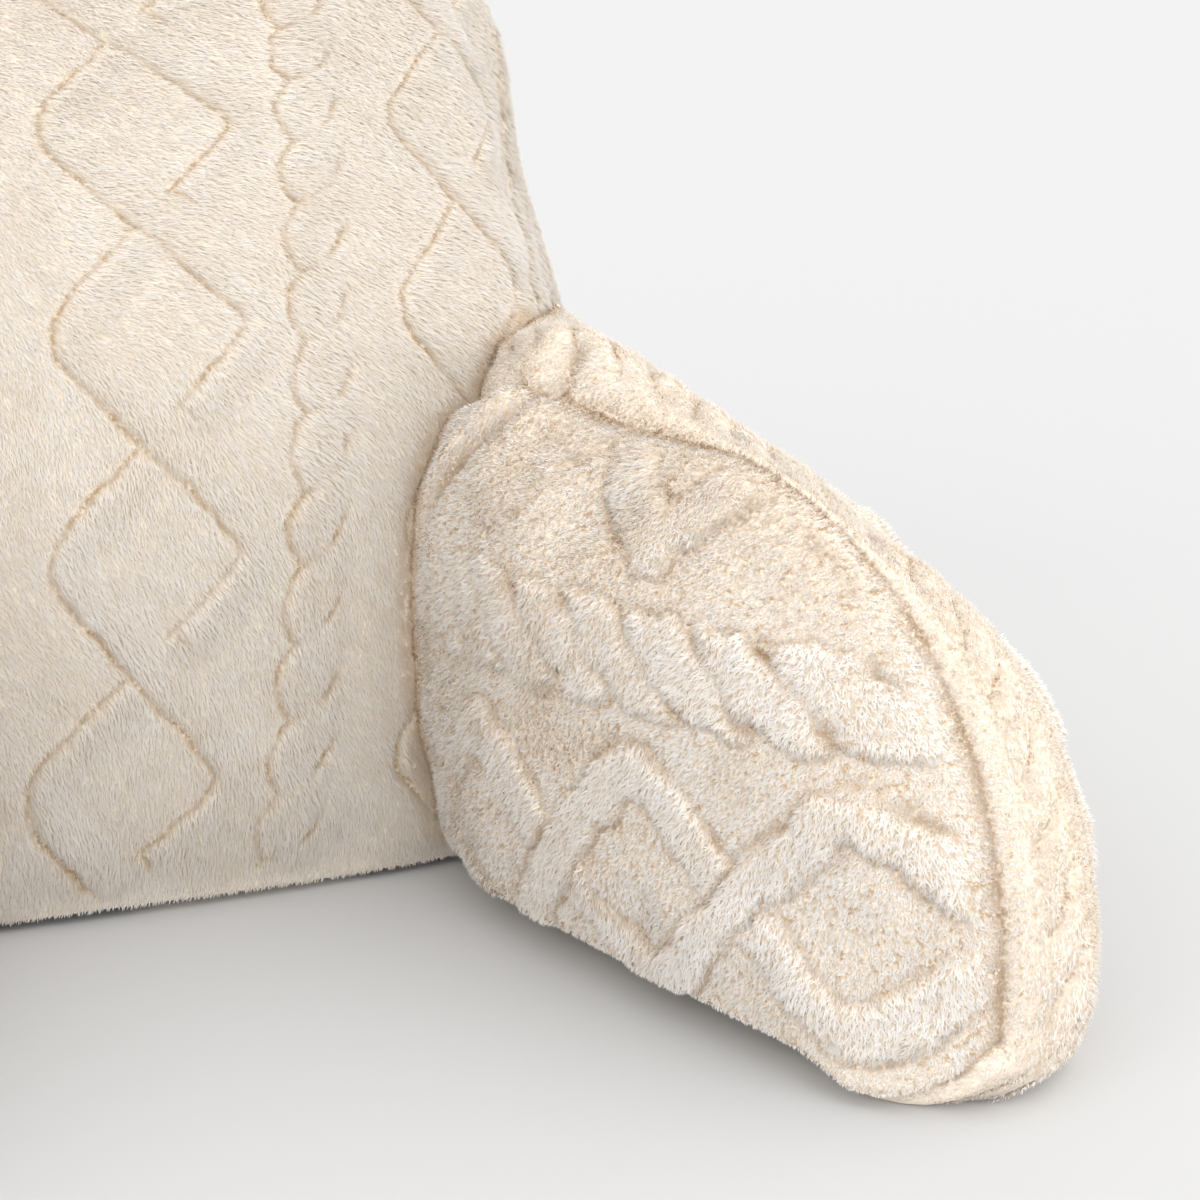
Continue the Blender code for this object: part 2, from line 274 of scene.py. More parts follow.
def rear_profile(samples=600):
    """Middle line of the rear panel: one Bezier curve from the base to the top."""
    t = np.linspace(0.0, 1.0, samples)
    y = ((1 - t)**3 * REAR_BASE_Y + 3 * (1 - t)**2 * t * REAR_BULGE_LOW_Y
         + 3 * (1 - t) * t**2 * REAR_BULGE_HIGH_Y + t**3 * TOP_Y)
    z = 3 * (1 - t)**2 * t * REAR_BULGE_LOW_Z + 3 * (1 - t) * t**2 * TOP_Z + t**3 * TOP_Z
    return y, z


REAR_Y, REAR_Z = rear_profile()
print("backrest top at", round(TOP_Y - CENTRE_Y, 3), round(TOP_Z, 3))

# %% The backrest's surface
def half_width(z):
    wide = smooth_table(z, SIDE_TABLE, 1)
    up = np.clip((z - CORNER_START) / (TOP_Z - CORNER_START), 0.0, 1.0)
    return wide * (1.0 - up**CORNER_POWER)**(1.0 / CORNER_POWER)


def plan_powers(z):
    """How full the plan is in front and behind at a height: less than 1 is squarer than an ellipse."""
    low = np.minimum(z / SQUARE_BELOW, 1.0)
    return 1.0 - FRONT_SQUARE * (1.0 - low), 1.0 - REAR_SQUARE * (1.0 - low)


def back_surface(z, phi, inset):
    """Points of the backrest, inset from its solid.  phi is 0 at the front middle and
    a quarter turn at the side seams."""
    z_full = z / ((TOP_Z - inset) / TOP_Z)
    front = np.interp(z_full, PROFILE_Z, PROFILE_Y)
    rear = np.interp(z_full, REAR_Z, REAR_Y)
    seam = np.minimum(smooth_table(z_full, SIDE_TABLE, 2), TOP_Y)
    power_front, power_rear = plan_powers(z_full)
    wide = np.maximum(half_width(z_full) - inset, 0.0)
    c = np.cos(phi)
    x = wide * np.sin(phi)
    depth_front = np.maximum(seam - front - inset, 0.0002)
    depth_rear = np.maximum(rear - seam - inset, 0.0002)
    ahead = seam - depth_front * np.abs(c)**power_front
    behind = seam + depth_rear * np.abs(c)**power_rear
    y = np.where(c >= 0.0, ahead, behind)
    under = np.where(z < BASE_ROUND, BASE_ROUND - np.sqrt(
        np.maximum(BASE_ROUND**2 - (BASE_ROUND - z)**2, 0.0)), 0.0)
    middle = 0.5 * (front + rear)
    reach = np.maximum(np.hypot(x, y - middle), 1e-6)
    x = x * (1.0 - under / reach)
    y = y - (y - middle) * under / reach
    return np.stack((x, y - CENTRE_Y, z + 0.0 * x), axis=-1)


print("half width at the arms' height", round(float(half_width(np.array(0.2))), 3))

# %% Sizes of the arms
ARM_ROOT = Vector((0.141, 0.004 - CENTRE_Y, 0.0))
ARM_SPLAY = math.radians(19.0)
ARM_TILT = math.radians(5.0)
ARM_TAIL = 0.130
ARM_LENGTH = 0.296
ARM_ROUND_START = 0.120
ARM_ROUND_TOP = 0.217
ARM_ROUND_LOW = 0.030
ARM_TOE_START = 0.262
ARM_SEAM_LIFT = 0.006
ARM_TABLE = (  # along, inner seam height, its offset, outer seam drop, its offset, swell
    (-0.130, 0.190, 0.040, -0.058, 0.110, 0.020),
    (-0.060, 0.207, 0.012, -0.036, 0.085, 0.022),
    (-0.020, 0.222, 0.003, -0.016, 0.066, 0.024),
    (0.020, 0.227, 0.000, -0.004, 0.055, 0.025),
    (0.060, 0.224, 0.000, 0.002, 0.050, 0.021),
    (0.120, 0.217, 0.000, 0.008, 0.050, 0.014),
    (0.190, 0.203, 0.000, 0.018, 0.050, 0.011),
    (0.250, 0.157, 0.000, 0.006, 0.053, 0.021),
    (0.296, 0.030, 0.000, 0.000, 0.060, 0.026),
)
ARM_THICK = 0.050  # from the inner panel's seam to the outer panel's, at the foot
ARM_INNER_CROWN = 0.058
ARM_OUTER_CROWN = 0.048
ARM_FOOT_INNER = 0.034
ARM_FOOT_OUTER = 0.030
FOOT_FADE = 0.036  # the foot's bulge dies out over this length at the toe
NOSE_START = 0.050  # the crowns begin to fall towards the front end here
INNER_NOSE_POWER = 2.6
OUTER_NOSE_POWER = 4.5
ROOT_FROM = -0.030  # between these the crowns grow from their size at the root
ROOT_TO = 0.070
ALONG = np.array((math.sin(ARM_SPLAY), -math.cos(ARM_SPLAY), 0.0))
OUT = np.array((math.cos(ARM_SPLAY), math.sin(ARM_SPLAY), 0.0))
UP = np.array((0.0, 0.0, math.cos(ARM_TILT))) + OUT * math.sin(ARM_TILT)
AWAY = OUT * math.cos(ARM_TILT) - np.array((0.0, 0.0, math.sin(ARM_TILT)))
print("the arm runs along", ALONG.round(3), "and leans along", UP.round(3))

# %% The arm's outline
def arm_top(t):
    u = np.clip((t - ARM_ROUND_START) / (ARM_LENGTH - ARM_ROUND_START), 0.0, 1.0)
    arc = ARM_ROUND_LOW + (ARM_ROUND_TOP - ARM_ROUND_LOW) * np.sqrt(1.0 - u * u)
    return np.where(t < ARM_ROUND_START, smooth_table(t, ARM_TABLE, 1), arc)


def arm_bottom(t):
    u = np.clip((t - ARM_TOE_START) / (ARM_LENGTH - ARM_TOE_START), 0.0, 1.0)
    return ARM_SEAM_LIFT + (ARM_ROUND_LOW - ARM_SEAM_LIFT) * (1.0 - np.sqrt(1.0 - u * u))


def arm_outline(columns, samples=60):
    """Closed outline of an arm panel in its own plane, evenly spaced, anticlockwise from the tail."""
    a = np.linspace(0.0, math.pi / 2, samples)
    toe_t = ARM_TOE_START + (ARM_LENGTH - ARM_TOE_START) * np.sin(a)
    toe_q = ARM_SEAM_LIFT + (ARM_ROUND_LOW - ARM_SEAM_LIFT) * (1.0 - np.cos(a))
    nose_t = ARM_ROUND_START + (ARM_LENGTH - ARM_ROUND_START) * np.cos(a)
    nose_q = ARM_ROUND_LOW + (ARM_ROUND_TOP - ARM_ROUND_LOW) * np.sin(a)
    top_t = np.linspace(ARM_ROUND_START, -ARM_TAIL, samples)[1:]
    t = np.concatenate(([-ARM_TAIL], toe_t, nose_t[1:], top_t, [-ARM_TAIL]))
    q = np.concatenate(([ARM_SEAM_LIFT], toe_q, nose_q[1:], arm_top(top_t), [ARM_SEAM_LIFT]))
    length = np.concatenate(([0.0], np.cumsum(np.hypot(np.diff(t), np.diff(q)))))
    even = np.arange(columns) * length[-1] / columns
    return np.column_stack((np.interp(even, length, t), np.interp(even, length, q))), even


print("the seam round an arm panel is", round(float(arm_outline(200)[1][-1]), 2), "m long")

# %% The arm's surface
def arm_shape(t, q):
    """Inner and outer surface over points of the panel: heights and offsets of each."""
    top = arm_top(t)
    low = arm_bottom(t)
    h = np.clip((q - low) / np.maximum(top - low, 1e-6), 0.0, 1.0)
    across = np.sqrt(np.clip(4.0 * h * (1.0 - h), 0.0, 1.0))
    nose = np.clip((t - NOSE_START) / (ARM_LENGTH - NOSE_START), 0.0, 1.0)
    root = smooth_step(t, ROOT_FROM, ROOT_TO)
    inner_along = np.sqrt(np.clip(1.0 - nose**INNER_NOSE_POWER, 0.0, 1.0)) * (0.72 + 0.28 * root)
    outer_along = np.sqrt(np.clip(1.0 - nose**OUTER_NOSE_POWER, 0.0, 1.0)) * (0.80 + 0.20 * root)
    toe = np.clip((ARM_LENGTH + 0.004 - t) / FOOT_FADE, 0.0, 1.0)**0.5
    foot = np.clip(1.0 - h * 2.0, 0.0, 1.0)**2 * toe
    seam_in = smooth_table(t, ARM_TABLE, 2)
    seam_out = smooth_table(t, ARM_TABLE, 4)
    drop = smooth_table(t, ARM_TABLE, 3)
    inner_offset = (seam_in * h**2 - ARM_INNER_CROWN * across * inner_along
                    - ARM_FOOT_INNER * foot * (0.35 + 0.65 * root))
    outer_offset = (ARM_THICK + (seam_out - ARM_THICK) * h**2 + ARM_OUTER_CROWN * across * outer_along
                    + ARM_FOOT_OUTER * foot)
    return q, inner_offset, q - drop * h**3, outer_offset


def arm_place(t, q, offset):
    """Points of the right arm in the shared frame."""
    return (np.array(ARM_ROOT) + np.multiply.outer(t, ALONG) + np.multiply.outer(q, UP)
            + np.multiply.outer(offset, AWAY))


print("arm tip near", arm_place(np.array([ARM_LENGTH]), np.array([0.03]), np.array([0.03])).round(3))

# %% [markdown]
# ## Filling: a cloth simulation
# Filling pushes a sewn cover outwards everywhere but at its seams.  A copy of each solid is remeshed,
# pinned along its seams and its foot, and blown up a little by Blender's cloth.  Only the movement is
# kept: it is carried to the fine cover below, so the seams stay sharp and no simulation is left over.

# %% Blow up the cushions
FILL_PRESSURE = 4.0
FILL_FRAMES = 20
FILL_VOXEL = 0.009
PIN_REACH = 0.022  # the seams hold the cloth this far to each side
FOOT_HEIGHT = 0.012  # below this the cushion rests on the floor
CLOTH_SETTINGS = {
    "quality": 5,
    "mass": 0.3,
    "tension_stiffness": 12.0,
    "compression_stiffness": 12.0,
    "shear_stiffness": 4.0,
    "bending_stiffness": 0.3,
    "use_pressure": True,
    "uniform_pressure_force": FILL_PRESSURE,
    "vertex_group_mass": "pinned",
    "shrink_min": -0.035,  # the cloth may grow by this share
}


def remeshed_copy(node):
    """The node's solid as a new object of even, small faces."""
    obj = new_object("filling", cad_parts[node].data.copy())
    bpy.context.view_layer.objects.active = obj
    remesh = obj.modifiers.new("remesh", "REMESH")
    remesh.mode = "VOXEL"
    remesh.voxel_size = FILL_VOXEL
    depsgraph = bpy.context.evaluated_depsgraph_get()
    mesh = bpy.data.meshes.new_from_object(obj.evaluated_get(depsgraph))
    obj.modifiers.clear()
    obj.data = mesh
    return obj


def pin(obj, rest, seam_points):
    """A vertex group that holds the points near the seams and at the foot."""
    tree = tree_of(seam_points)
    near = np.array([tree.find(p)[2] for p in rest])
    pinned = np.maximum(1.0 - near / PIN_REACH, (rest[:, 2] < FOOT_HEIGHT) * 1.0).clip(0.0, 1.0)
    group = obj.vertex_groups.new(name="pinned")
    for k in np.nonzero(pinned > 0.01)[0]:
        group.add([int(k)], float(pinned[k]), "REPLACE")


def filled_movement(node, seam_points, cap):
    """Where the remeshed solid's points are, and how far the filling moves each."""
    obj = remeshed_copy(node)
    rest = read(obj.data.vertices, "co", 3).astype(float)
    pin(obj, rest, seam_points)
    cloth = obj.modifiers.new("cloth", "CLOTH")
    for key, value in CLOTH_SETTINGS.items():
        setattr(cloth.settings, key, value)
    cloth.settings.effector_weights.gravity = 0.0
    cloth.collision_settings.use_collision = False
    cloth.point_cache.frame_start = 1
    cloth.point_cache.frame_end = FILL_FRAMES
    scene = bpy.context.scene
    for step in range(1, FILL_FRAMES + 1):
        scene.frame_set(step)
    result = obj.evaluated_get(bpy.context.evaluated_depsgraph_get()).data
    move = read(result.vertices, "co", 3).astype(float) - rest
    length = np.linalg.norm(move, axis=1, keepdims=True)
    move = move * np.minimum(1.0, cap / np.maximum(length, 1e-9))
    bpy.data.objects.remove(obj, do_unlink=True)
    scene.frame_set(1)
    furthest = round(float(length.max()) * 1000, 1)
    print(node, len(rest), "points, moved at most", furthest, "mm, kept to", cap)
    return rest, move


def carry(points, rest, move, reach=0.012, nearest=8):
    """The movement at other points: a soft average of the nearest simulated ones."""
    tree = tree_of(rest)
    out = np.zeros_like(points)
    for k, p in enumerate(points):
        found = tree.find_n(p, nearest)
        index = [f[1] for f in found]
        weight = np.exp(-np.square([f[2] for f in found]) / (reach * reach))
        out[k] = weight @ move[index] / (weight.sum() + 1e-12)
    return out


print("the simulation will run", FILL_FRAMES, "frames a cushion, on faces of", FILL_VOXEL * 1000, "mm")

# %% [markdown]
# ## The covers as fine meshes
# A cover's mesh follows the cloth: its rows and columns run along and across each panel, so every point
# knows its place on the flat cloth.  The sculpted pattern and the pile both read that place.  The
# backrest's cover is a stack of level rings, closed by one point at the top and one under the base.

# %% Rows and columns of the backrest's cover
FRONT, REAR, INNER, OUTER, STRIP, BASE = range(6)
LOW_ROWS = (0.0008, 0.002, 0.0035, 0.005, 0.007, 0.009, 0.011, 0.0135)
FIRST_ROW = 0.0165  # even rows start here
ROW_STEP = 0.0046
TOP_ROWS = (0.0035, 0.0015, 0.0005, 0.0001)  # the last rows' lengths from the top
REAR_COLUMNS = 44  # from the rear's middle to a side seam
FRONT_COLUMNS = 160


def rear_length():
    """Heights of the rear panel's middle line, and the length up to each."""
    squeeze = (TOP_Z - PILE_REACH) / TOP_Z
    length = np.concatenate(([0.0], np.cumsum(np.hypot(np.diff(REAR_Y), np.diff(REAR_Z)))))
    return REAR_Z * squeeze, length


def back_rows():
    """Height of each row, and its length up the front panel."""
    squeeze = (TOP_Z - PILE_REACH) / TOP_Z
    upper = np.concatenate((np.arange(FIRST_ROW, FRONT_LENGTH - 0.005, ROW_STEP),
                            FRONT_LENGTH - np.array(TOP_ROWS)))
    heights = np.concatenate((LOW_ROWS, np.interp(upper, PROFILE_S, PROFILE_Z) * squeeze))
    return heights, np.concatenate((LOW_ROWS, upper))


def back_columns():
    """How far round the backrest each column is."""
    return np.concatenate((np.linspace(-math.pi, -math.pi / 2, REAR_COLUMNS, endpoint=False),
                           np.linspace(-math.pi / 2, math.pi / 2, FRONT_COLUMNS, endpoint=False),
                           np.linspace(math.pi / 2, math.pi, REAR_COLUMNS, endpoint=False)))


def back_faces(rows, columns):
    """Faces between the rings, at the top and under the base, and the panel that each belongs to."""
    index = np.arange(rows * columns).reshape(rows, columns)
    panel = [FRONT if REAR_COLUMNS <= c < REAR_COLUMNS + FRONT_COLUMNS else REAR for c in range(columns)]
    faces = []
    kinds = []
    for r in range(rows - 1):
        for c in range(columns):
            d = (c + 1) % columns
            faces.append((index[r, c], index[r, d], index[r + 1, d], index[r + 1, c]))
            kinds.append(panel[c])
    top = rows * columns
    bottom = top + 1
    for c in range(columns):
        d = (c + 1) % columns
        faces.append((index[-1, c], index[-1, d], top))
        kinds.append(panel[c])
        faces.append((index[0, d], index[0, c], bottom))
        kinds.append(BASE)
    return faces, np.array(kinds)


print("backrest cover:", len(back_rows()[0]), "rows of", len(back_columns()), "points")

# %% Backrest cover
def across_back(points):
    """Lengths across each row from the middle of the front and of the rear, and to a side seam."""
    left = REAR_COLUMNS
    right = REAR_COLUMNS + FRONT_COLUMNS
    step = np.linalg.norm(np.roll(points, -1, axis=1) - points, axis=2)
    total = np.cumsum(step, axis=1)
    total = np.concatenate((np.zeros((len(points), 1)), total[:, :-1]), axis=1)
    front = total - total[:, (left + right) // 2][:, None]
    half_way = 0.5 * (total[:, -1:] + step[:, -1:])
    rear = np.where(total > half_way, total - total[:, -1:] - step[:, -1:], total)
    seam = np.minimum(np.abs(total - total[:, left][:, None]), np.abs(total - total[:, right][:, None]))
    tree = tree_of(np.vstack((points[:, left], points[:, right])))
    for r, c in np.argwhere(points[..., 2] > CORNER_START):
        seam[r, c] = min(seam[r, c], tree.find(points[r, c])[2])
    return front, rear, seam


def back_cover():
    heights, lengths = back_rows()
    rows = len(heights)
    z, phi = np.meshgrid(heights, back_columns(), indexing="ij")
    points = back_surface(z, phi, PILE_REACH)
    front, rear, seam = across_back(points)
    rear_up = np.interp(heights, *rear_length())
    faces, kinds = back_faces(rows, z.shape[1])
    top = [[0.0, TOP_Y - CENTRE_Y, TOP_Z - PILE_REACH]]
    bottom = [[0.0, 0.5 * (FRONT_BASE_Y + REAR_BASE_Y) - CENTRE_Y, heights[0]]]

    def with_ends(values):
        return np.concatenate((np.broadcast_to(values, z.shape).ravel(), [0.0, 0.0]))

    panel = np.where(np.abs(phi) <= math.pi / 2, FRONT, REAR).ravel()
    return {
        "points": np.vstack((points.reshape(-1, 3), top, bottom)), "faces": faces, "kinds": kinds,
        "main_kinds": {FRONT}, "main_places": (with_ends(front), with_ends(lengths[:, None])),
        "other_places": (with_ends(rear), with_ends(rear_up[:, None])),
        "point_kinds": np.concatenate((panel, [REAR, BASE])),
        "seam": np.concatenate((seam.ravel(), [0.0, 1.0])),
    }


back = back_cover()
print("backrest cover:", len(back["points"]), "points,", len(back["faces"]), "faces")

# %% [markdown]
# Each arm panel is covered by rings that shrink from its outline to a line in its middle, the spine.
# More rings carry the boxing strip from the inner panel's seam to the outer panel's.  The filling pushes
# the inner seam out over the strip's edge at the front end, so the points near that seam slide outwards.

# %% Rings of the arm's cover
ARM_COLUMNS = 260
PANEL_GAPS = np.concatenate(([0.0, 0.0015, 0.0035, 0.006, 0.0090], np.arange(0.0130, 0.098, 0.0044)))
SPINE_GAP = 0.100  # the spine counts as this far from the seam
SPINE_FROM = (-0.030, 0.112)
SPINE_TO = (0.190, 0.098)
SPINE_POINTS = 50
STRIP_EASE = (0.0, 0.03, 0.07, 0.13, 0.20, 0.28, 0.36, 0.44,
              0.50, 0.56, 0.64, 0.72, 0.80, 0.87, 0.93, 0.97, 1.0)
STRIP_POWER = 0.6  # under 1, the strip bulges more squarely than a sine
STRIP_CLOTH = 1.25  # the strip's cloth is longer across than the straight way


def strip_bulge(f):
    return math.sin(math.pi * f)**STRIP_POWER


def outward(outline):
    run = np.roll(outline, -1, axis=0) - np.roll(outline, 1, axis=0)
    normal = np.column_stack((run[:, 1], -run[:, 0]))
    return normal / np.hypot(normal[:, 0], normal[:, 1])[:, None]


def panel_rings(outline):
    """Places on a panel, ring by ring, then the spine's; and the spine point that ends each column."""
    share = (PANEL_GAPS / SPINE_GAP)[:, None, None]
    spine = np.linspace(SPINE_FROM, SPINE_TO, SPINE_POINTS)
    nearest = np.clip(np.round((outline[:, 0] - SPINE_FROM[0]) / (SPINE_TO[0] - SPINE_FROM[0])
                               * (SPINE_POINTS - 1)), 0, SPINE_POINTS - 1).astype(int)
    panel = outline[None] * (1.0 - share) + spine[nearest][None] * share
    t = np.concatenate((panel[..., 0].ravel(), spine[:, 0]))
    q = np.concatenate((panel[..., 1].ravel(), spine[:, 1]))
    return t, q, nearest


def strip_rings(outline, normal, surfaces):
    """Points of the strip's rings, between the edges of the inner and the outer surface."""
    q_in, off_in, q_out, off_out = (v[:ARM_COLUMNS] for v in surfaces)
    swell = smooth_table(outline[:, 0], ARM_TABLE, 5)
    strip = []
    for f in STRIP_EASE[1:-1]:
        t = outline[:, 0] + normal[:, 0] * swell * strip_bulge(f)
        q = outline[:, 1] + normal[:, 1] * swell * strip_bulge(f)
        q = q + (q_in * (1 - f) + q_out * f) - outline[:, 1]
        strip.append(arm_place(t, q, off_in * (1 - f) + off_out * f))
    return strip


def arm_faces(rings, nearest, panel_size):
    """Faces of the two panels and of the strip, and which of them each face belongs to."""
    columns = np.arange(ARM_COLUMNS)
    following = (columns + 1) % ARM_COLUMNS
    faces = []
    kinds = []

    def add(corners, kind):
        for face in zip(*corners):
            faces.append(tuple(v for k, v in enumerate(face) if v != face[k - 1]))
            kinds.append(kind)

    for base, kind in ((0, INNER), (panel_size, OUTER)):
        for r in range(len(PANEL_GAPS)):
            a = base + r * ARM_COLUMNS + columns
            last = r + 1 == len(PANEL_GAPS)
            b = base + len(PANEL_GAPS) * ARM_COLUMNS + nearest if last else a + ARM_COLUMNS
            corners = (a, a[following], b[following], b)
            add(corners if kind == INNER else corners[::-1], kind)
    for a, b in zip(rings[:-1], rings[1:]):
        add((a, b, b[following], a[following]), STRIP)
    return faces, np.array(kinds)


print("arm cover:", len(PANEL_GAPS), "rings a panel and", len(STRIP_EASE) - 2, "on the strip")

# %% Arm cover
SEAM_SLIDE = 0.0092  # how far the inner seam slides
SLIDE_REACH = 0.024  # and how far from the seam the cloth still follows
SLIDE_HIGH = (0.06, 0.15)  # where along the arm the slide sets in, on its top
SLIDE_LOW = (0.235, 0.280)  # and under its toe
SLIDE_SPLIT = 0.05  # height between the two


def seam_slide(outline, normal, rings, count):
    """How each point slides with the inner seam."""
    high = outline[:, 1] > SLIDE_SPLIT
    from_t = np.where(high, SLIDE_HIGH[0], SLIDE_LOW[0])
    till_t = np.where(high, SLIDE_HIGH[1], SLIDE_LOW[1])
    stretch = SEAM_SLIDE * smooth_step(outline[:, 0], from_t, till_t)
    way = np.multiply.outer(normal[:, 0], ALONG) + np.multiply.outer(normal[:, 1], UP)
    way = way * stretch[:, None]
    slide = np.zeros((count, 3))
    for r, gap in enumerate(PANEL_GAPS):
        slide[r * ARM_COLUMNS:(r + 1) * ARM_COLUMNS] = way * bump(gap, SLIDE_REACH)
    for f, ring in zip(STRIP_EASE[1:-1], rings[1:-1]):
        slide[ring] = way * (1.0 - strip_bulge(f) if f < 0.5 else 0.0)
    return slide


def arm_cover():
    outline, run = arm_outline(ARM_COLUMNS)
    normal = outward(outline)
    t, q, nearest = panel_rings(outline)
    surfaces = arm_shape(t, q)
    inner = arm_place(t, *surfaces[:2])
    outer = arm_place(t, *surfaces[2:])
    strip = strip_rings(outline, normal, surfaces)
    points = np.vstack([inner, outer] + strip)
    size = len(inner)
    ring = np.arange(ARM_COLUMNS)
    rings = [ring] + [2 * size + k * ARM_COLUMNS + ring for k in range(len(strip))] + [size + ring]
    width = np.linalg.norm(points[rings[0]] - points[rings[-1]], axis=1) * STRIP_CLOTH
    faces, kinds = arm_faces(rings, nearest, size)
    panel_t, panel_q, strip_run, strip_across, seam = np.zeros((5, len(points)))
    point_kinds = np.full(len(points), STRIP)
    for base, kind in ((0, INNER), (size, OUTER)):
        part = slice(base, base + size)
        panel_t[part] = t
        panel_q[part] = q
        seam[part] = np.concatenate((np.repeat(PANEL_GAPS, ARM_COLUMNS), np.full(SPINE_POINTS, SPINE_GAP)))
        point_kinds[part] = kind
    for f, ring in zip(STRIP_EASE, rings):
        strip_run[ring] = run
        strip_across[ring] = f * width
        seam[ring] = min(f, 1.0 - f) * width
        panel_t[ring] = outline[:, 0]
        panel_q[ring] = outline[:, 1]
    return {
        "points": points + seam_slide(outline, normal, rings, len(points)), "faces": faces, "kinds": kinds,
        "main_kinds": {INNER, OUTER}, "main_places": (panel_t, panel_q),
        "other_places": (strip_run, strip_across), "point_kinds": point_kinds, "seam": seam,
        "seam_lines": np.vstack((points[rings[0]][::4], points[rings[-1]][::4])),
    }


arm = arm_cover()
print("arm cover:", len(arm["points"]), "points,", len(arm["faces"]), "faces")

# %% [markdown]
# ## The sculpted pattern
# The pile is embossed with a trellis of cords that cross in diamonds, and with rope cables between
# them.  Each cord is a raised band.  The pile is combed to one side, so on the backrest only the left
# edge of each cord opens into a thin groove.  On the arms both edges stand up.  The pattern repeats
# evenly, so distances to a few curves describe all of it.

# %% Trellis
REPEAT = 0.100  # diamond to diamond, along a column
COLUMN = 0.162  # column to column
CORD_SWING = 0.0405  # a cord's centre swings this far to each side
CORD_HALF = 0.0095  # half a cord's width
CORD_BEND = 0.965  # nearer to 1, the cords run straighter and turn sharper
STANDING_EDGE = 0.0044  # a standing cord's sides slope over about this width
COMBED_EDGE = 0.0040  # and a combed cord's left side over this
COMBED_FALL = (-0.004, 0.0140)  # its right side falls between these, from its middle


def cord_path(y):
    """Sideways place of a cord along the column, and its slope: a wave with nearly straight runs."""
    angle = math.pi * y / REPEAT
    scale = CORD_SWING / math.asin(CORD_BEND)
    x = scale * np.arcsin(CORD_BEND * np.cos(angle))
    slope = (-scale * CORD_BEND * np.sin(angle) * math.pi / REPEAT
             / np.sqrt(1.0 - (CORD_BEND * np.cos(angle))**2))
    return x, slope


def trellis(x, y):
    """Signed distances, left to right, from the cord that passes over and the cord that passes under."""
    centre, slope = cord_path(y)
    stretch = np.sqrt(1.0 + slope * slope)
    first = (x - centre) / stretch
    second = (x + centre) / stretch
    over = np.where(slope < 0.0, first, second)
    under = np.where(slope < 0.0, second, first)
    return over, under


def standing_cords(over, under):
    """Height and grooves where the pile is brushed up: both edges of a cord stand."""
    def height(gap):
        return smooth_step(CORD_HALF - np.abs(gap), -STANDING_EDGE / 2, STANDING_EDGE)

    def groove(gap):
        return bump(np.abs(gap) - CORD_HALF - 0.0012, 0.0018)

    hidden = smooth_step(np.abs(over), CORD_HALF, CORD_HALF + 0.0015)
    raised = np.maximum(height(over), height(under) * hidden)
    return raised, 0.66 * np.maximum(groove(over), groove(under) * hidden)


def combed_cords(over, under):
    """Height and grooves where the pile is combed to the right: only a cord's left edge opens."""
    def height(gap):
        return (smooth_step(gap, -CORD_HALF, -CORD_HALF + COMBED_EDGE)
                * (1.0 - smooth_step(gap, *COMBED_FALL)))

    def groove(gap):
        return bump(gap + CORD_HALF + 0.0004, 0.0013)

    hidden = smooth_step(np.abs(over), CORD_HALF * 0.7, CORD_HALF + 0.003)
    shows = np.where(over > 0.0, smooth_step(over, CORD_HALF * 0.8, CORD_HALF + 0.006),
                     smooth_step(-over, CORD_HALF + 0.0005, CORD_HALF + 0.0030))
    hook = bump(over - CORD_HALF * 1.55, 0.0013) * bump(under + CORD_HALF - 0.0050, 0.0052)
    raised = np.maximum(height(over), height(under) * hidden)
    return raised, np.maximum(np.maximum(groove(over), groove(under) * shows), hook)


print("a cord swings from", cord_path(np.array([0.0, REPEAT]))[0].round(4))

# %% [markdown]
# A rope cable is a chain of slanted lobes.  Where the pile is combed, its right side lies flat and its
# lobes bend upwards there.  Where the pile is brushed up, both its sides stand.  The boxing strip is cut
# along a cable, so only the middles of its lobes show, as a row of puffs.

# %% Cables and puffs
CABLE_LOBE = REPEAT / 3.0  # lobe to lobe, along a cable
CABLE_BULGE = 0.0072  # how far a lobe's left side swells past its notches
CABLE_RIGHT = 0.0200  # from the notches to a cable's right side
CABLE_AT = 0.0085  # the notches lie this far left of the middle between two columns
CABLE_PHASE = 0.0110
LOBE_SLOPE = 0.62  # rise of the partings between lobes, for each metre across
LOBE_BEND = 110.0  # and how much they bend up
LOBE_BEND_AT = 0.012  # to the right of this
PARTING_AT = (-0.002, 0.001, 0.004, 0.008, 0.011, 0.014, 0.019, 0.022)
PARTING_DEPTH = (0.0, 0.8, 0.30, 0.05, 0.30, 1.00, 1.00, 0.0)
BRAID_HALF = 0.0185  # half the width of the fuller cables on the arms
BRAID_SLOPE = 1.10
BRAID_LOBE = 0.0340
BRAID_PHASE = 0.0443
PUFF_LENGTH = 0.027
PUFF_MIDDLE = 0.027  # from the inner seam to the row of puffs
PUFF_SLOPE = 0.9


def fraction(v):
    return v - np.floor(v)


def gap_between(part):
    """Share of a lobe's length from the nearest parting."""
    return np.minimum(part, 1.0 - part)


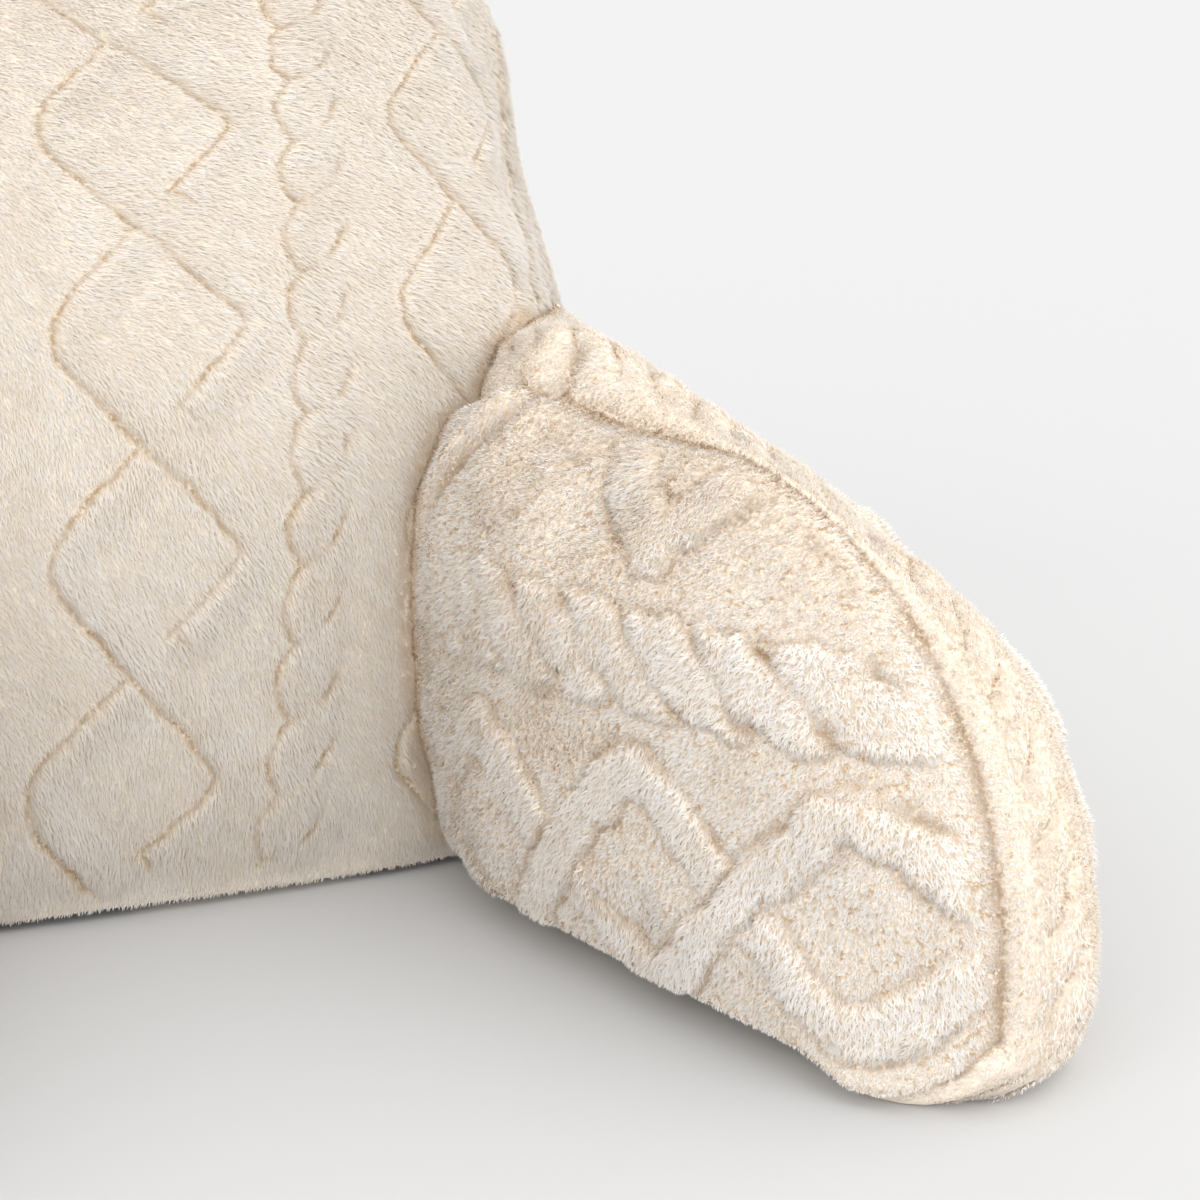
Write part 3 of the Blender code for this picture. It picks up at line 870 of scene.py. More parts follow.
def cable(x, y):
    """A combed rope cable of slanted lobes: its height and its grooves."""
    x = x + CABLE_AT
    y = y + CABLE_PHASE
    notch = fraction(y / CABLE_LOBE)
    inside = (x + CABLE_BULGE * np.sin(math.pi * notch)**0.8) * 0.85
    late = np.maximum(x - LOBE_BEND_AT, 0.0)
    rise = LOBE_SLOPE * x + LOBE_BEND * late**2
    slope = LOBE_SLOPE + 2.0 * LOBE_BEND * late
    gap = gap_between(fraction((y - rise) / CABLE_LOBE)) * CABLE_LOBE / np.sqrt(1.0 + slope**2)
    on = smooth_step(inside, 0.0, 0.0026) * (1.0 - smooth_step(x, CABLE_RIGHT - 0.006, CABLE_RIGHT + 0.003))
    height = on * (1.0 - 0.16 * bump(gap, 0.0024) * smooth_step(x, -0.002, 0.002))
    between = bump(gap, 0.0011) * np.interp(x, PARTING_AT, PARTING_DEPTH)
    return height, np.maximum(bump(inside + 0.0003, 0.0012), between)


def braid(x, y):
    """The same cable where the pile is brushed up: both sides stand, and the lobes run right across."""
    part = fraction((y - BRAID_PHASE - BRAID_SLOPE * x) / BRAID_LOBE)
    gap = gap_between(part) * BRAID_LOBE / math.hypot(1.0, BRAID_SLOPE)
    swell = BRAID_HALF * (0.80 + 0.26 * np.sin(math.pi * part)**0.7)
    inside = swell - np.abs(x)
    on = smooth_step(inside, -0.0005, 0.0045)
    ends = bump(np.abs(x) - 0.0135, 0.0055)
    height = on * (1.0 - (0.35 + 0.45 * ends) * bump(gap, 0.0036))
    between = bump(gap, 0.0010 + 0.0014 * ends) * smooth_step(inside, -0.003, 0.001) * (0.25 + 0.75 * ends)
    return height, np.maximum(0.42 * bump(inside + 0.0006, 0.0014), between)


def puffs(along, across):
    """The strip's puffs, with short slanted partings: their height and their grooves."""
    middle = across - PUFF_MIDDLE
    wander = 0.004 * noise(along, across, 0.02, 17)
    gap = gap_between(fraction((along - PUFF_SLOPE * middle + wander) / PUFF_LENGTH)) * PUFF_LENGTH * 0.75
    raised = (1.0 - 0.85 * bump(gap, 0.0042)) * bump(middle, 0.017)
    line = bump(gap, 0.0015) * bump(middle, 0.010) * (0.75 + 0.45 * noise(along, across, 0.009, 18))
    return raised, line.clip(0.0, 1.0)


print("a cable's lobe is", round(CABLE_LOBE * 1000, 1), "mm long, a braid's", BRAID_LOBE * 1000)

# %% The whole pattern
COMBED_SHIFT = 0.0122  # a combed trellis stands this far right of its column's middle
BRUSHED_WANDER = 2.4  # brushed-up cords wander this much more than combed ones


def pattern(x, y, brushed):
    """Raised height (0 to 1) and groove (0 to 1) of the sculpted pile at places on the cloth."""
    shift = 0.0 if brushed else COMBED_SHIFT
    rough = BRUSHED_WANDER if brushed else 1.0
    x = x + (noise(x, y, 0.0036, 11) * 0.0006 + noise(x, y, 0.011, 14) * 0.0011) * rough
    y = y + (noise(x, y, 0.0036, 16) * 0.0005 + noise(x, y, 0.012, 15) * 0.0011) * rough
    column = np.round((x - shift) / COLUMN)
    over, under = trellis(x - shift - column * COLUMN, y)
    rope = (x - COLUMN / 2) - np.round((x - COLUMN / 2) / COLUMN) * COLUMN
    raised, line = standing_cords(over, under) if brushed else combed_cords(over, under)
    rope_raised, rope_line = braid(rope, y) if brushed else cable(rope, y)
    line = np.maximum(line, rope_line)
    line = line * (0.66 + 0.42 * noise(x, y, 0.011, 13) + 0.22 * noise(x, y, 0.0035, 19))
    return np.maximum(raised, rope_raised), line.clip(0.0, 1.0)


sample = np.meshgrid(np.linspace(0.0, COLUMN, 80), np.linspace(0.0, REPEAT, 60))
print("raised on", round(float((pattern(*sample, False)[0] > 0.5).mean()), 2), "of the cloth")

# %% [markdown]
# ## How the pattern lies on each panel
# The backrest's front panel is cut a little off its grain and stretched over the filling, so its columns
# slant and bow.  The arm's inner panel has one column along the arm and a cable above it, which draw
# together a little towards the front end.  The outer panel is a copy of it, and the rear panel carries
# the backrest's pattern, laid plainly.

# %% Place on the pattern
DIAMOND_AT = 0.0635  # first diamond's middle, above the base seam
BACK_COLUMN_AT = 0.0087  # the middle column stands this far left, at BACK_LEVEL
BACK_LEVEL = 0.2
BACK_SLANT = 0.1407
BACK_BOW = 0.33
BACK_BOW_LEVEL = 0.19
BACK_BOW_FADE = (-0.02, 0.15)  # the bow dies out between these, to the right
REAR_COLUMN_AT = 0.030
REAR_SLANT = 0.05
REAR_DIAMOND_AT = 0.090
ARM_DIAMOND = (0.160, 0.055)  # a diamond's middle on the inner panel
ARM_CABLE = 0.1415  # the cable's middle above it
ARM_CLIMB = (0.12, 0.03)  # how the column and the cable rise along the arm
ARM_SHEAR = 0.20


def place_on_pattern(kind, a, b):
    """Across and along the cloth's columns, from places on a panel."""
    if kind == FRONT:
        bow = BACK_BOW * (b - BACK_BOW_LEVEL)**2 * (1.0 - smooth_step(a, *BACK_BOW_FADE))
        return a + BACK_COLUMN_AT - BACK_SLANT * (b - BACK_LEVEL) + bow, b - DIAMOND_AT
    if kind == REAR:
        return a - REAR_COLUMN_AT + REAR_SLANT * (b - BACK_LEVEL), b - REAR_DIAMOND_AT
    if kind in (INNER, OUTER):
        t = a - ARM_DIAMOND[0]
        diamond_q = ARM_DIAMOND[1] + ARM_CLIMB[0] * t
        cable_q = ARM_CABLE + ARM_CLIMB[1] * t
        across = (b - diamond_q) * (COLUMN / 2) / (cable_q - diamond_q)
        return -across, t + ARM_SHEAR * (b - ARM_DIAMOND[1])
    return a, b


print("a diamond's middle on the arm is at", place_on_pattern(INNER, *np.array(ARM_DIAMOND)))

# %% [markdown]
# ## Seams and folds
# A sewn seam draws the cloth in, and the panel's edge stands beside it as a small ridge.  Where the arm
# is sewn to the backrest its filling bunches up: the inner panel folds there along a slanting line, and
# the fold's upper end pinches the boxing strip.

# %% Fold at the arm's root
FOLD_LINE = ((0.014, 0.228), (0.010, 0.218), (0.003, 0.206),
             (-0.009, 0.190), (-0.021, 0.172), (-0.029, 0.150))  # along the arm, height
FOLDS = (  # depth, width, shift along and up, where along the line it fades
    (-0.0130, 0.0058, (0.0, 0.0), (0.35, 1.0)),  # the trough
    (0.0060, 0.008, (0.013, 0.003), (0.5, 1.0)),  # the full ridge behind it
    (0.0030, 0.010, (-0.014, -0.002), (0.2, 0.8)),  # and the lower one in front
)


def distance_to_line(t, q, line):
    """Distance to a line of straight pieces, and how far along it the nearest place is (0 to 1)."""
    best = np.full(np.shape(t), 1.0)
    place = np.zeros(np.shape(t))
    for k, (p, r) in enumerate(zip(line[:-1], line[1:])):
        dt = r[0] - p[0]
        dq = r[1] - p[1]
        f = np.clip(((t - p[0]) * dt + (q - p[1]) * dq) / (dt * dt + dq * dq), 0.0, 1.0)
        gap = np.hypot(t - p[0] - f * dt, q - p[1] - f * dq)
        nearer = gap < best
        best = np.where(nearer, gap, best)
        place = np.where(nearer, (k + f) / (len(line) - 1), place)
    return best, place


def pinch_run():
    """How far round the arm's outline the fold meets the seam."""
    outline, run = arm_outline(400)
    on_top = outline[:, 1] > 0.1
    return float(run[np.argmin(np.abs(outline[:, 0] - FOLD_LINE[0][0]) + (~on_top) * 1.0)])


def root_folds(t, q):
    """The filling bunches up where the arm is sewn on: a trough between a full ridge and a low one."""
    total = 0.0
    for depth, width, (shift_t, shift_q), fade in FOLDS:
        gap, place = distance_to_line(t + shift_t, q + shift_q, FOLD_LINE)
        total = total + depth * bump(gap, width) * (1.0 - smooth_step(place, *fade))
    return total


def pinch(run, across, width, fade):
    """The pinch that the fold makes in the strip: 1 in its middle, from the inner seam to fade."""
    return bump(run - PINCH_RUN - 0.2 * (across - 0.01), width) * (1.0 - smooth_step(across, *fade))


PINCH_RUN = pinch_run()
print("the fold meets the seam", round(PINCH_RUN, 3), "m round the panel")

# %% Relief of the cover
RELIEF = {FRONT: 0.0008, REAR: 0.0010, INNER: 0.0023, OUTER: 0.0023, STRIP: 0.0028}  # cords' height
GROOVE_DEPTH = 0.0010
# the painted shade line along a seam is this wide to each side
SEAM_SHADE_HALF = 0.0010  # half width of the dark line in a seam
ROOT_PLAIN = (0.015, 0.085)  # the arm's pattern grows clear between these, along the arm


def seam_relief(kind, seam):
    """Sewn seams draw the cloth in, and the panel's edge stands as a small ridge beside them."""
    if kind in (INNER, OUTER):
        return 0.0007 * bump(seam - 0.0055, 0.0036) - 0.0020 * bump(seam, 0.0018)
    if kind == STRIP:
        return -0.0018 * bump(seam, 0.0030)
    return 0.0045 * bump(seam, 0.030) - 0.0022 * bump(seam, 0.0030)


def relief(kind, a, b, seam):
    """Height of the cover above its plain form, and the groove and raised shares there."""
    if kind == BASE:
        return 0.0 * a, 0.0 * a, 0.0 * a
    x, y = place_on_pattern(kind, a, b)
    raised, groove = puffs(x, y) if kind == STRIP else pattern(x, y, kind in (INNER, OUTER))
    near_seam = smooth_step(seam, 0.001, 0.008)
    if kind in (INNER, OUTER):
        faint = 0.35 + 0.65 * smooth_step(a - 0.25 * (b - 0.15), *ROOT_PLAIN)
        raised = raised * faint
        groove = groove * faint
    raised = raised * near_seam
    if kind in (FRONT, REAR):
        raised = raised * smooth_step(b, 0.012, 0.022)
        groove = groove * smooth_step(b, 0.010, 0.018)
    # the groove share sinks the cover a little here, and the pile's material paints it as tan shade
    height = RELIEF[kind] * raised - GROOVE_DEPTH * groove * near_seam + seam_relief(kind, seam)
    # painted shade: a tan line down each seam, where the blades are also shorter
    seam_line = (0.62 + 0.3 * noise(a, b, 0.012, 62)) * bump(seam, SEAM_SHADE_HALF)
    groove = np.maximum(groove * near_seam, seam_line)
    # painted shade: tan in the trough of the fold at the arm's root
    if kind == INNER:
        gap, place = distance_to_line(a, b, FOLD_LINE)
        groove = np.maximum(groove, 0.90 * bump(gap, 0.0045) * (1.0 - smooth_step(place, 0.6, 1.0)))
    # painted shade: tan in the pinch that the fold makes in the strip
    if kind == STRIP:
        groove = np.maximum(groove, 0.95 * pinch(a, b, 0.0035, (0.012, 0.028)))
    return height, groove, raised


print("relief in mm:", {name: RELIEF[kind] * 1000 for name, kind in (("front", FRONT), ("arm", INNER))})

# %% [markdown]
# ## Shape the covers
# Each cover is inset by the pile's reach, filled, made a little uneven, folded and sculpted, in that
# order.  The backing cloth stays under the lowest pile near each place, so it never shows through on a
# slope.  At last the arm's tail is drawn forward out of the backrest, as it is sewn to its face.

# %% Steps of the shaping
STRIP_SINK = 0.0035  # the strip's backing lies this much deeper, away from its seams
COVER_LOWEST = 0.0008  # the cover stays this high above the floor
FREE_CLOTH = 0.035  # the filling moves the cloth fully beyond this distance from a seam
FILL_KEPT = (-0.005, 0.004)  # range of the filling's movement in and out that is kept
LEAN_KEPT = 0.4  # and the share of its sideways movement
SOFT_CELL = 0.055  # size and height of the soft unevenness
SOFT_HEIGHT = 0.0018
SKIN_GAP = 0.0003  # the backing lies this far under the lowest pile
SKIN_PROBES = [(0.0, 0.0)] + [(r * math.cos(k * math.pi / 4), r * math.sin(k * math.pi / 4))
                              for r in (0.0013, 0.0028) for k in range(8)]


def normals_of(cover):
    """Smooth normals of a cover's points."""
    mesh = bpy.data.meshes.new("cover")
    mesh.from_pydata(cover["points"].tolist(), [], [[int(v) for v in face] for face in cover["faces"]])
    mesh.update()
    normals = read(mesh.vertex_normals, "vector", 3).astype(float)
    bpy.data.meshes.remove(mesh)
    return normals


def inset_arm(cover, normal):
    """The arm's points, moved in to where its backing lies."""
    on_strip = cover["point_kinds"] == STRIP
    inset = PILE_REACH + on_strip * STRIP_SINK * smooth_step(cover["seam"], 0.004, 0.020)
    points = cover["points"] - normal * inset[:, None]
    points[:, 2] = np.maximum(points[:, 2], COVER_LOWEST)
    return points


def back_seam_lines(samples=90):
    """Points along the backrest's two side seams."""
    z = np.linspace(0.0, TOP_Z - 0.002, samples)
    right = back_surface(z, np.full(samples, math.pi / 2), 0.0)
    return np.vstack((right, right * (-1.0, 1.0, 1.0)))


def fill(node, points, normal, seam, seam_lines, cap):
    """The cover's points, moved as the filling moves the solid."""
    rest, move = filled_movement(node, seam_lines, cap)
    move = carry(points, rest, move)
    rise = (move * normal).sum(1)
    lean = move - rise[:, None] * normal
    free = smooth_step(seam, 0.0, FREE_CLOTH)
    gain = np.clip(rise - np.median(rise), *FILL_KEPT) * free
    print(node, "filling moves the cover", (rise.min() * 1000).round(1), "to", (rise.max() * 1000).round(1))
    return points + normal * gain[:, None] + lean * (LEAN_KEPT * free)[:, None]


def arm_folds(cover, points):
    """Height of the folds at each of the arm's points: at the root, and at the pinch in the strip."""
    kinds = cover["point_kinds"]
    t, q = cover["main_places"]
    run, across = cover["other_places"]
    fold = np.zeros(len(points))
    inner = kinds == INNER
    fold[inner] = root_folds(t[inner], q[inner])
    on_top = (kinds == STRIP) & (points[:, 2] > 0.1)
    puff = bump(run - PINCH_RUN - 0.020, 0.012) * bump(across - 0.018, 0.016)
    return fold + on_top * (0.0040 * puff - 0.0090 * pinch(run, across, 0.0070, (0.010, 0.034)))


def skin_height(cover):
    """Height of the backing: under the lowest pile within reach of each point."""
    kinds = cover["point_kinds"]
    height = np.zeros(len(kinds))
    for kind in np.unique(kinds):
        here = kinds == kind
        places = cover["main_places"] if kind in cover["main_kinds"] else cover["other_places"]
        u, v = (place[here] for place in places)
        lowest = np.full(u.shape, 1.0)
        for du, dv in SKIN_PROBES:
            lowest = np.minimum(lowest, relief(kind, u + du, v + dv, cover["seam"][here])[0])
        height[here] = lowest - SKIN_GAP
    return height


print("each backing point looks at", len(SKIN_PROBES), "places round it")

# %% Draw the arm's tail out of the backrest
TUCK_STEP = 0.001
TUCK_FURTHEST = 0.30
TAIL_DEEPER = 0.0040  # low down, the arm's tail reaches this much deeper into the backrest
TAIL_LEVEL = (0.05, 0.11)  # and not at all above the second height


def inside_back(points, inset):
    """Whether each point lies inside the backrest, inset by so much."""
    x = np.abs(points[:, 0])
    y = points[:, 1] + CENTRE_Y
    z = np.clip(points[:, 2], 0.0, TOP_Z - 0.001)
    wide = np.maximum(half_width(z) - inset, 1e-4)
    seam = np.minimum(smooth_table(z, SIDE_TABLE, 2), TOP_Y)
    power_front, power_rear = plan_powers(z)
    c = np.sqrt(np.clip(1.0 - (x / wide)**2, 0.0, 1.0))
    front = np.interp(z, PROFILE_Z, PROFILE_Y) + inset
    rear = np.interp(z, REAR_Z, REAR_Y) - inset
    ahead = seam - (seam - front) * c**power_front
    behind = seam + (rear - seam) * c**power_rear
    return (x < wide) & (y > ahead) & (y < behind)


def push_out_of_back(points, inset):
    """Slide points that lie inside the backrest forward along the arm until they are out of it."""
    out = points.copy()
    moved = np.zeros(len(points))
    todo = np.nonzero(inside_back(points, inset))[0]
    start = points[todo]
    inset = inset[todo]
    done = np.zeros(len(todo), bool)
    for d in np.arange(0.0, TUCK_FURTHEST, TUCK_STEP)[1:]:
        trial = start + ALONG * d
        newly = ~inside_back(trial, inset) & ~done
        out[todo[newly]] = trial[newly]
        moved[todo[newly]] = d
        done |= newly
        if done.all():
            break
    return out, moved


print("the arm's root is inside the backrest:", inside_back(np.array([ARM_ROOT]) + (0, 0.03, 0.1), 0.0))

# %% Shape both covers
def shape_cover(cover, node, cap):
    """Inset, fill, fold and sculpt a cover's points.  Keeps the unsculpted points for the pile."""
    is_arm = INNER in cover["main_kinds"]
    normal = normals_of(cover)
    points = inset_arm(cover, normal) if is_arm else cover["points"]
    seam_lines = cover["seam_lines"] if is_arm else back_seam_lines()
    points = fill(node, points, normal, cover["seam"], seam_lines, cap)
    sideways = points[:, 0] + points[:, 1] * 0.7
    upwards = points[:, 2] - points[:, 1] * 0.6
    soft = noise(sideways, upwards, SOFT_CELL, 21) * SOFT_HEIGHT
    points = points + normal * (soft * smooth_step(cover["seam"], 0.004, 0.03))[:, None]
    if is_arm:
        points = points + normal * arm_folds(cover, points)[:, None]
        points[:, 2] = np.maximum(points[:, 2], COVER_LOWEST)
    cover["points"] = points
    cover["plain"] = points
    cover["normal"] = normals_of(cover)
    shaped = points + cover["normal"] * skin_height(cover)[:, None]
    if is_arm:
        low = 1.0 - smooth_step(shaped[:, 2], *TAIL_LEVEL)
        deeper = TAIL_DEEPER * low * (cover["main_places"][0] < 0.0)
        shaped, cover["tucked"] = push_out_of_back(shaped, PILE_REACH - 0.0008 + deeper)
    shaped[:, 2] = np.maximum(shaped[:, 2], 0.0006)
    cover["points"] = shaped
    return cover


back = shape_cover(back, "backrest", 0.0060)
arm = shape_cover(arm, "arm_right", 0.0075)
print("cover points:", len(back["points"]), "on the backrest,", len(arm["points"]), "on an arm")

# %% [markdown]
# ## The pile
# Real plush is hundreds of thousands of fibre tufts.  Here each tuft is one small blade: a triangle
# rooted in the cover.  On the backrest the pile is combed straight, and on the arms it is curly and
# gathers in little locks.  Blades as geometry keep the outline soft from every side, which a texture
# could not do.

# %% Comb and curl
GUIDES = {  # which way is up the cloth, on each panel
    FRONT: np.array((0.0, 0.40, 1.0)),
    REAR: np.array((0.0, -0.40, 1.0)),
    INNER: UP,
    OUTER: UP,
    STRIP: AWAY,
}
BACK_COMB = math.radians(-66.0)
STRIP_COMB = math.radians(-100.0)
INNER_COMB = math.radians(-75.0)
OUTER_COMB = math.radians(-105.0)
LOCK_CELLS = 97  # the locks' middles repeat after this many cells


def tangents(kind, normal):
    """Two directions on the cover at each place: along the panel's first measure, and its second."""
    guide = GUIDES[kind]
    up = unit(guide - (normal @ guide)[:, None] * normal)
    side = unit(np.cross(up, normal))
    return (-side if kind in (OUTER, STRIP) else side), up


def comb(kind, a, b, raised, rng):
    """Angle that the pile is combed to, anticlockwise from the panel's first measure."""
    count = len(a)
    if kind in (FRONT, REAR):
        sweep = BACK_COMB + noise(a, b, 0.070, 31) * 0.40 + noise(a, b, 0.016, 32) * 0.15
        upper = smooth_step(b, 0.10, 0.34)
        sweep = sweep - 0.25 * (1.0 - upper) + 0.40 * upper
        return sweep + rng.normal(0.0, 0.20, count)
    if kind == STRIP:
        return STRIP_COMB + noise(a, b, 0.030, 35) * 0.8 + rng.normal(0.0, 0.45, count)
    sweep = INNER_COMB if kind == INNER else OUTER_COMB
    sweep = sweep + noise(a, b, 0.050, 33) * 0.5 + noise(a, b, 0.009, 34) * 0.6
    return sweep + rng.normal(0.0, 1.0, count) * (0.65 - 0.15 * raised)


def lock_centres(a, b, size, seed):
    """Towards the middle of the nearest lock of pile, in cloth units, and how far off it is."""
    table = np.random.default_rng(seed).uniform(0.15, 0.85, (LOCK_CELLS, LOCK_CELLS, 2))
    ia = np.floor(a / size).astype(int)
    ib = np.floor(b / size).astype(int)
    best = np.full(a.shape, 1e9)
    pull = np.zeros(a.shape + (2,))
    for da in (-1, 0, 1):
        for db in (-1, 0, 1):
            cell = table[(ia + da) % LOCK_CELLS, (ib + db) % LOCK_CELLS]
            ca = (ia + da + cell[..., 0]) * size - a
            cb = (ib + db + cell[..., 1]) * size - b
            gap = np.hypot(ca, cb)
            nearer = gap < best
            best = np.where(nearer, gap, best)
            pull = np.where(nearer[..., None], np.stack((ca, cb), -1), pull)
    return pull, best


print("pile combed to", round(math.degrees(BACK_COMB)), "degrees on the backrest")

# %% [markdown]
# Blades are scattered evenly over the cover, but none grow under the cushions or where an arm's tail is
# tucked into the backrest.  A few more are kept in the grooves, where they are short and would let the
# backing show.

# %% Where the blades grow
FLOOR_BAND = 0.004  # below this the cover meets the floor
SCATTER_EXTRA = 1.55  # more places than blades, as some are dropped again
KEPT_FLAT = 0.61  # share of the places that are kept, away from grooves


def scatter(cover, chosen, count, rng):
    """Random places on the chosen faces, even over their area: corners, weights and kinds."""
    tri = []
    kinds = []
    for k in chosen:
        face = cover["faces"][k]
        for j in range(1, len(face) - 1):
            tri.append((face[0], face[j], face[j + 1]))
            kinds.append(cover["kinds"][k])
    tri = np.array(tri)
    kinds = np.array(kinds)
    p = cover["plain"]
    area = 0.5 * np.linalg.norm(np.cross(p[tri[:, 1]] - p[tri[:, 0]], p[tri[:, 2]] - p[tri[:, 0]]), axis=1)
    hidden = p[tri].mean(axis=1)[:, 2] < FLOOR_BAND
    if "tucked" in cover:
        hidden = hidden | (cover["tucked"][tri].min(axis=1) > 0.0)
    area[hidden] = 0.0
    share = area / area.sum()
    number = np.floor(share * count + rng.random(len(tri))).astype(int)
    pick = np.repeat(np.arange(len(tri)), number)
    u = rng.random(len(pick))
    v = rng.random(len(pick))
    flip = u + v > 1.0
    u[flip] = 1.0 - u[flip]
    v[flip] = 1.0 - v[flip]
    print("  pile on", round(float(area.sum()) * 1e4), "square cm")
    return tri[pick], np.stack((1.0 - u - v, u, v), axis=1), kinds[pick]


def blend_at(values, tri, weight):
    """Values of a cover's points at places inside its triangles."""
    return (values[tri] * (weight[..., None] if values.ndim == 2 else weight)).sum(axis=1)


def cloth_places(cover, kind, tri, weight):
    """The two measures on the flat cloth at places inside triangles of one panel."""
    pair = cover["main_places"] if kind in cover["main_kinds"] else cover["other_places"]
    return blend_at(pair[0], tri, weight), blend_at(pair[1], tri, weight)


def grow(cover, chosen, count, rng):
    """Places of the blades that are kept: corners, weights, kinds, plain places, normals, seam gaps."""
    tri, weight, kinds = scatter(cover, chosen, count * SCATTER_EXTRA, rng)
    plain = blend_at(cover["plain"], tri, weight)
    normal = unit(blend_at(cover["normal"], tri, weight))
    seam = blend_at(cover["seam"], tri, weight)
    keep = ~((plain[:, 2] < FLOOR_BAND) & (normal[:, 2] < -0.5))
    if "tucked" in cover:
        keep &= blend_at(cover["tucked"], tri, weight) < 0.0005
    for kind in np.unique(kinds):
        here = kinds == kind
        groove = relief(kind, *cloth_places(cover, kind, tri[here], weight[here]), seam[here])[1]
        keep[here] &= rng.random(int(here.sum())) < KEPT_FLAT + (1.0 - KEPT_FLAT) * groove
    return [v[keep] for v in (tri, weight, kinds, plain, normal, seam)]


print("of 100 places,", round(100 * KEPT_FLAT), "grow a blade on flat cloth, and 100 in a groove")

# %% [markdown]
# Every blade knows how high the relief is at its root, whether it stands in a groove or just before one,
# which lock it belongs to, and how the sculpted cloth slopes under it.  Its shading normal comes from
# that slope, so the pile lights as one soft surface.

# %% What each blade knows
SLOPE_STEP = 0.0010  # the slope is measured over this much to each side
STEEPEST = 1.4
BACK_LOCK = 0.0042  # size of the locks of pile
ARM_LOCK = 0.0028
LOOK_AHEAD = ((0.0018, 1.0), (0.0036, 0.9), (0.0054, 0.7))  # how far along the comb, how much


def relief_slope(kind, a, b, seam, side, up):
    """Slope of the relief, as a direction on the cover."""
    h = SLOPE_STEP
    along_a = relief(kind, a + h, b, seam)[0] - relief(kind, a - h, b, seam)[0]
    along_b = relief(kind, a, b + h, seam)[0] - relief(kind, a, b - h, seam)[0]
    return (side * along_a[:, None] + up * along_b[:, None]) / (2.0 * h)


def blades(cover, chosen, count, seed):
    """Roots, normals and the fields that shape each blade."""
    rng = np.random.default_rng(seed)
    tri, weight, kinds, plain, normal, seam = grow(cover, chosen, count, rng)
    count = len(tri)
    height, groove, raised, lock, tint, ahead = np.zeros((6, count))
    heading, pull, slant = np.zeros((3, count, 3))
    for kind in np.unique(kinds):
        here = kinds == kind
        on_back = kind in (FRONT, REAR)
        a, b = cloth_places(cover, kind, tri[here], weight[here])
        height[here], groove[here], raised[here] = relief(kind, a, b, seam[here])
        side, up = tangents(kind, normal[here])
        slant[here] = relief_slope(kind, a, b, seam[here], side, up)
        angle = comb(kind, a, b, raised[here], rng)
        heading[here] = side * np.cos(angle)[:, None] + up * np.sin(angle)[:, None]
        size = BACK_LOCK if on_back else ARM_LOCK
        inward, gap = lock_centres(a, b, size, 41 + int(kind))
        pull[here] = (side * inward[:, :1] + up * inward[:, 1:]) / size
        lock[here] = np.clip(gap / size, 0.0, 1.0)
        if not on_back:
            # painted shade: the partings between the arm's locks are tinted tan, and their blades are
            # shorter
            parting_shade = smooth_step(lock[here], 0.48, 0.78) * (0.88 - 0.58 * raised[here])
            groove[here] = np.maximum(groove[here], parting_shade)
        tint[here] = noise(a, b, 0.020, 51) * 0.3 + noise(a, b, 0.004, 52) * 0.4
        for reach, share in LOOK_AHEAD:
            there = relief(kind, a + reach * np.cos(angle), b + reach * np.sin(angle), seam[here])[1]
            ahead[here] = np.maximum(ahead[here], there * share)
    steep = np.linalg.norm(slant, axis=1, keepdims=True)
    slant = slant * np.minimum(1.0, STEEPEST / np.maximum(steep, 1e-9))
    return {
        "count": count, "rng": rng, "root": plain + normal * height[:, None], "normal": normal,
        "sculpted": unit(normal - slant), "heading": heading, "pull": pull, "lock": lock,
        "groove": groove, "raised": raised, "ahead": ahead, "tint": tint,
    }


print("locks of pile are", BACK_LOCK * 1000, "mm wide on the backrest and", ARM_LOCK * 1000, "on the arms")

# %% [markdown]
# A blade is one triangle: two corners at its root and one at its tip.  Its own cell of the texture
# layout comes with it, so nothing has to be unwrapped.  The left arm's pile is the right arm's, mirrored.

# %% Blades as meshes
LOWEST_TIP = 0.0004  # no blade goes through the floor


def lay_out(mesh):
    """Texture places for the blades: one cell of a square grid each, so that none overlap."""
    vertex = read(mesh.loops, "vertex_index", kind=np.int32)
    blade = vertex // 3
    corner = vertex % 3
    side = math.ceil(math.sqrt(len(mesh.polygons)))
    u = (blade % side + np.array((0.1, 0.9, 0.5))[corner]) / side
    v = (blade // side + np.array((0.1, 0.1, 0.9))[corner]) / side
    layer = mesh.uv_layers.new(name="OFBake")
    layer.data.foreach_set("uv", np.column_stack((u, v)).astype(np.float32).ravel())


def finish_pile(mesh, attributes, normals):
    """Gives a pile mesh its values, its texture layout and its shading normals."""
    for key, values in attributes.items():
        set_attribute(mesh, key, values)
    lay_out(mesh)
    mesh.polygons.foreach_set("use_smooth", np.ones(len(mesh.polygons), bool))
    mesh.normals_split_custom_set_from_vertices(normals.tolist())
    return mesh


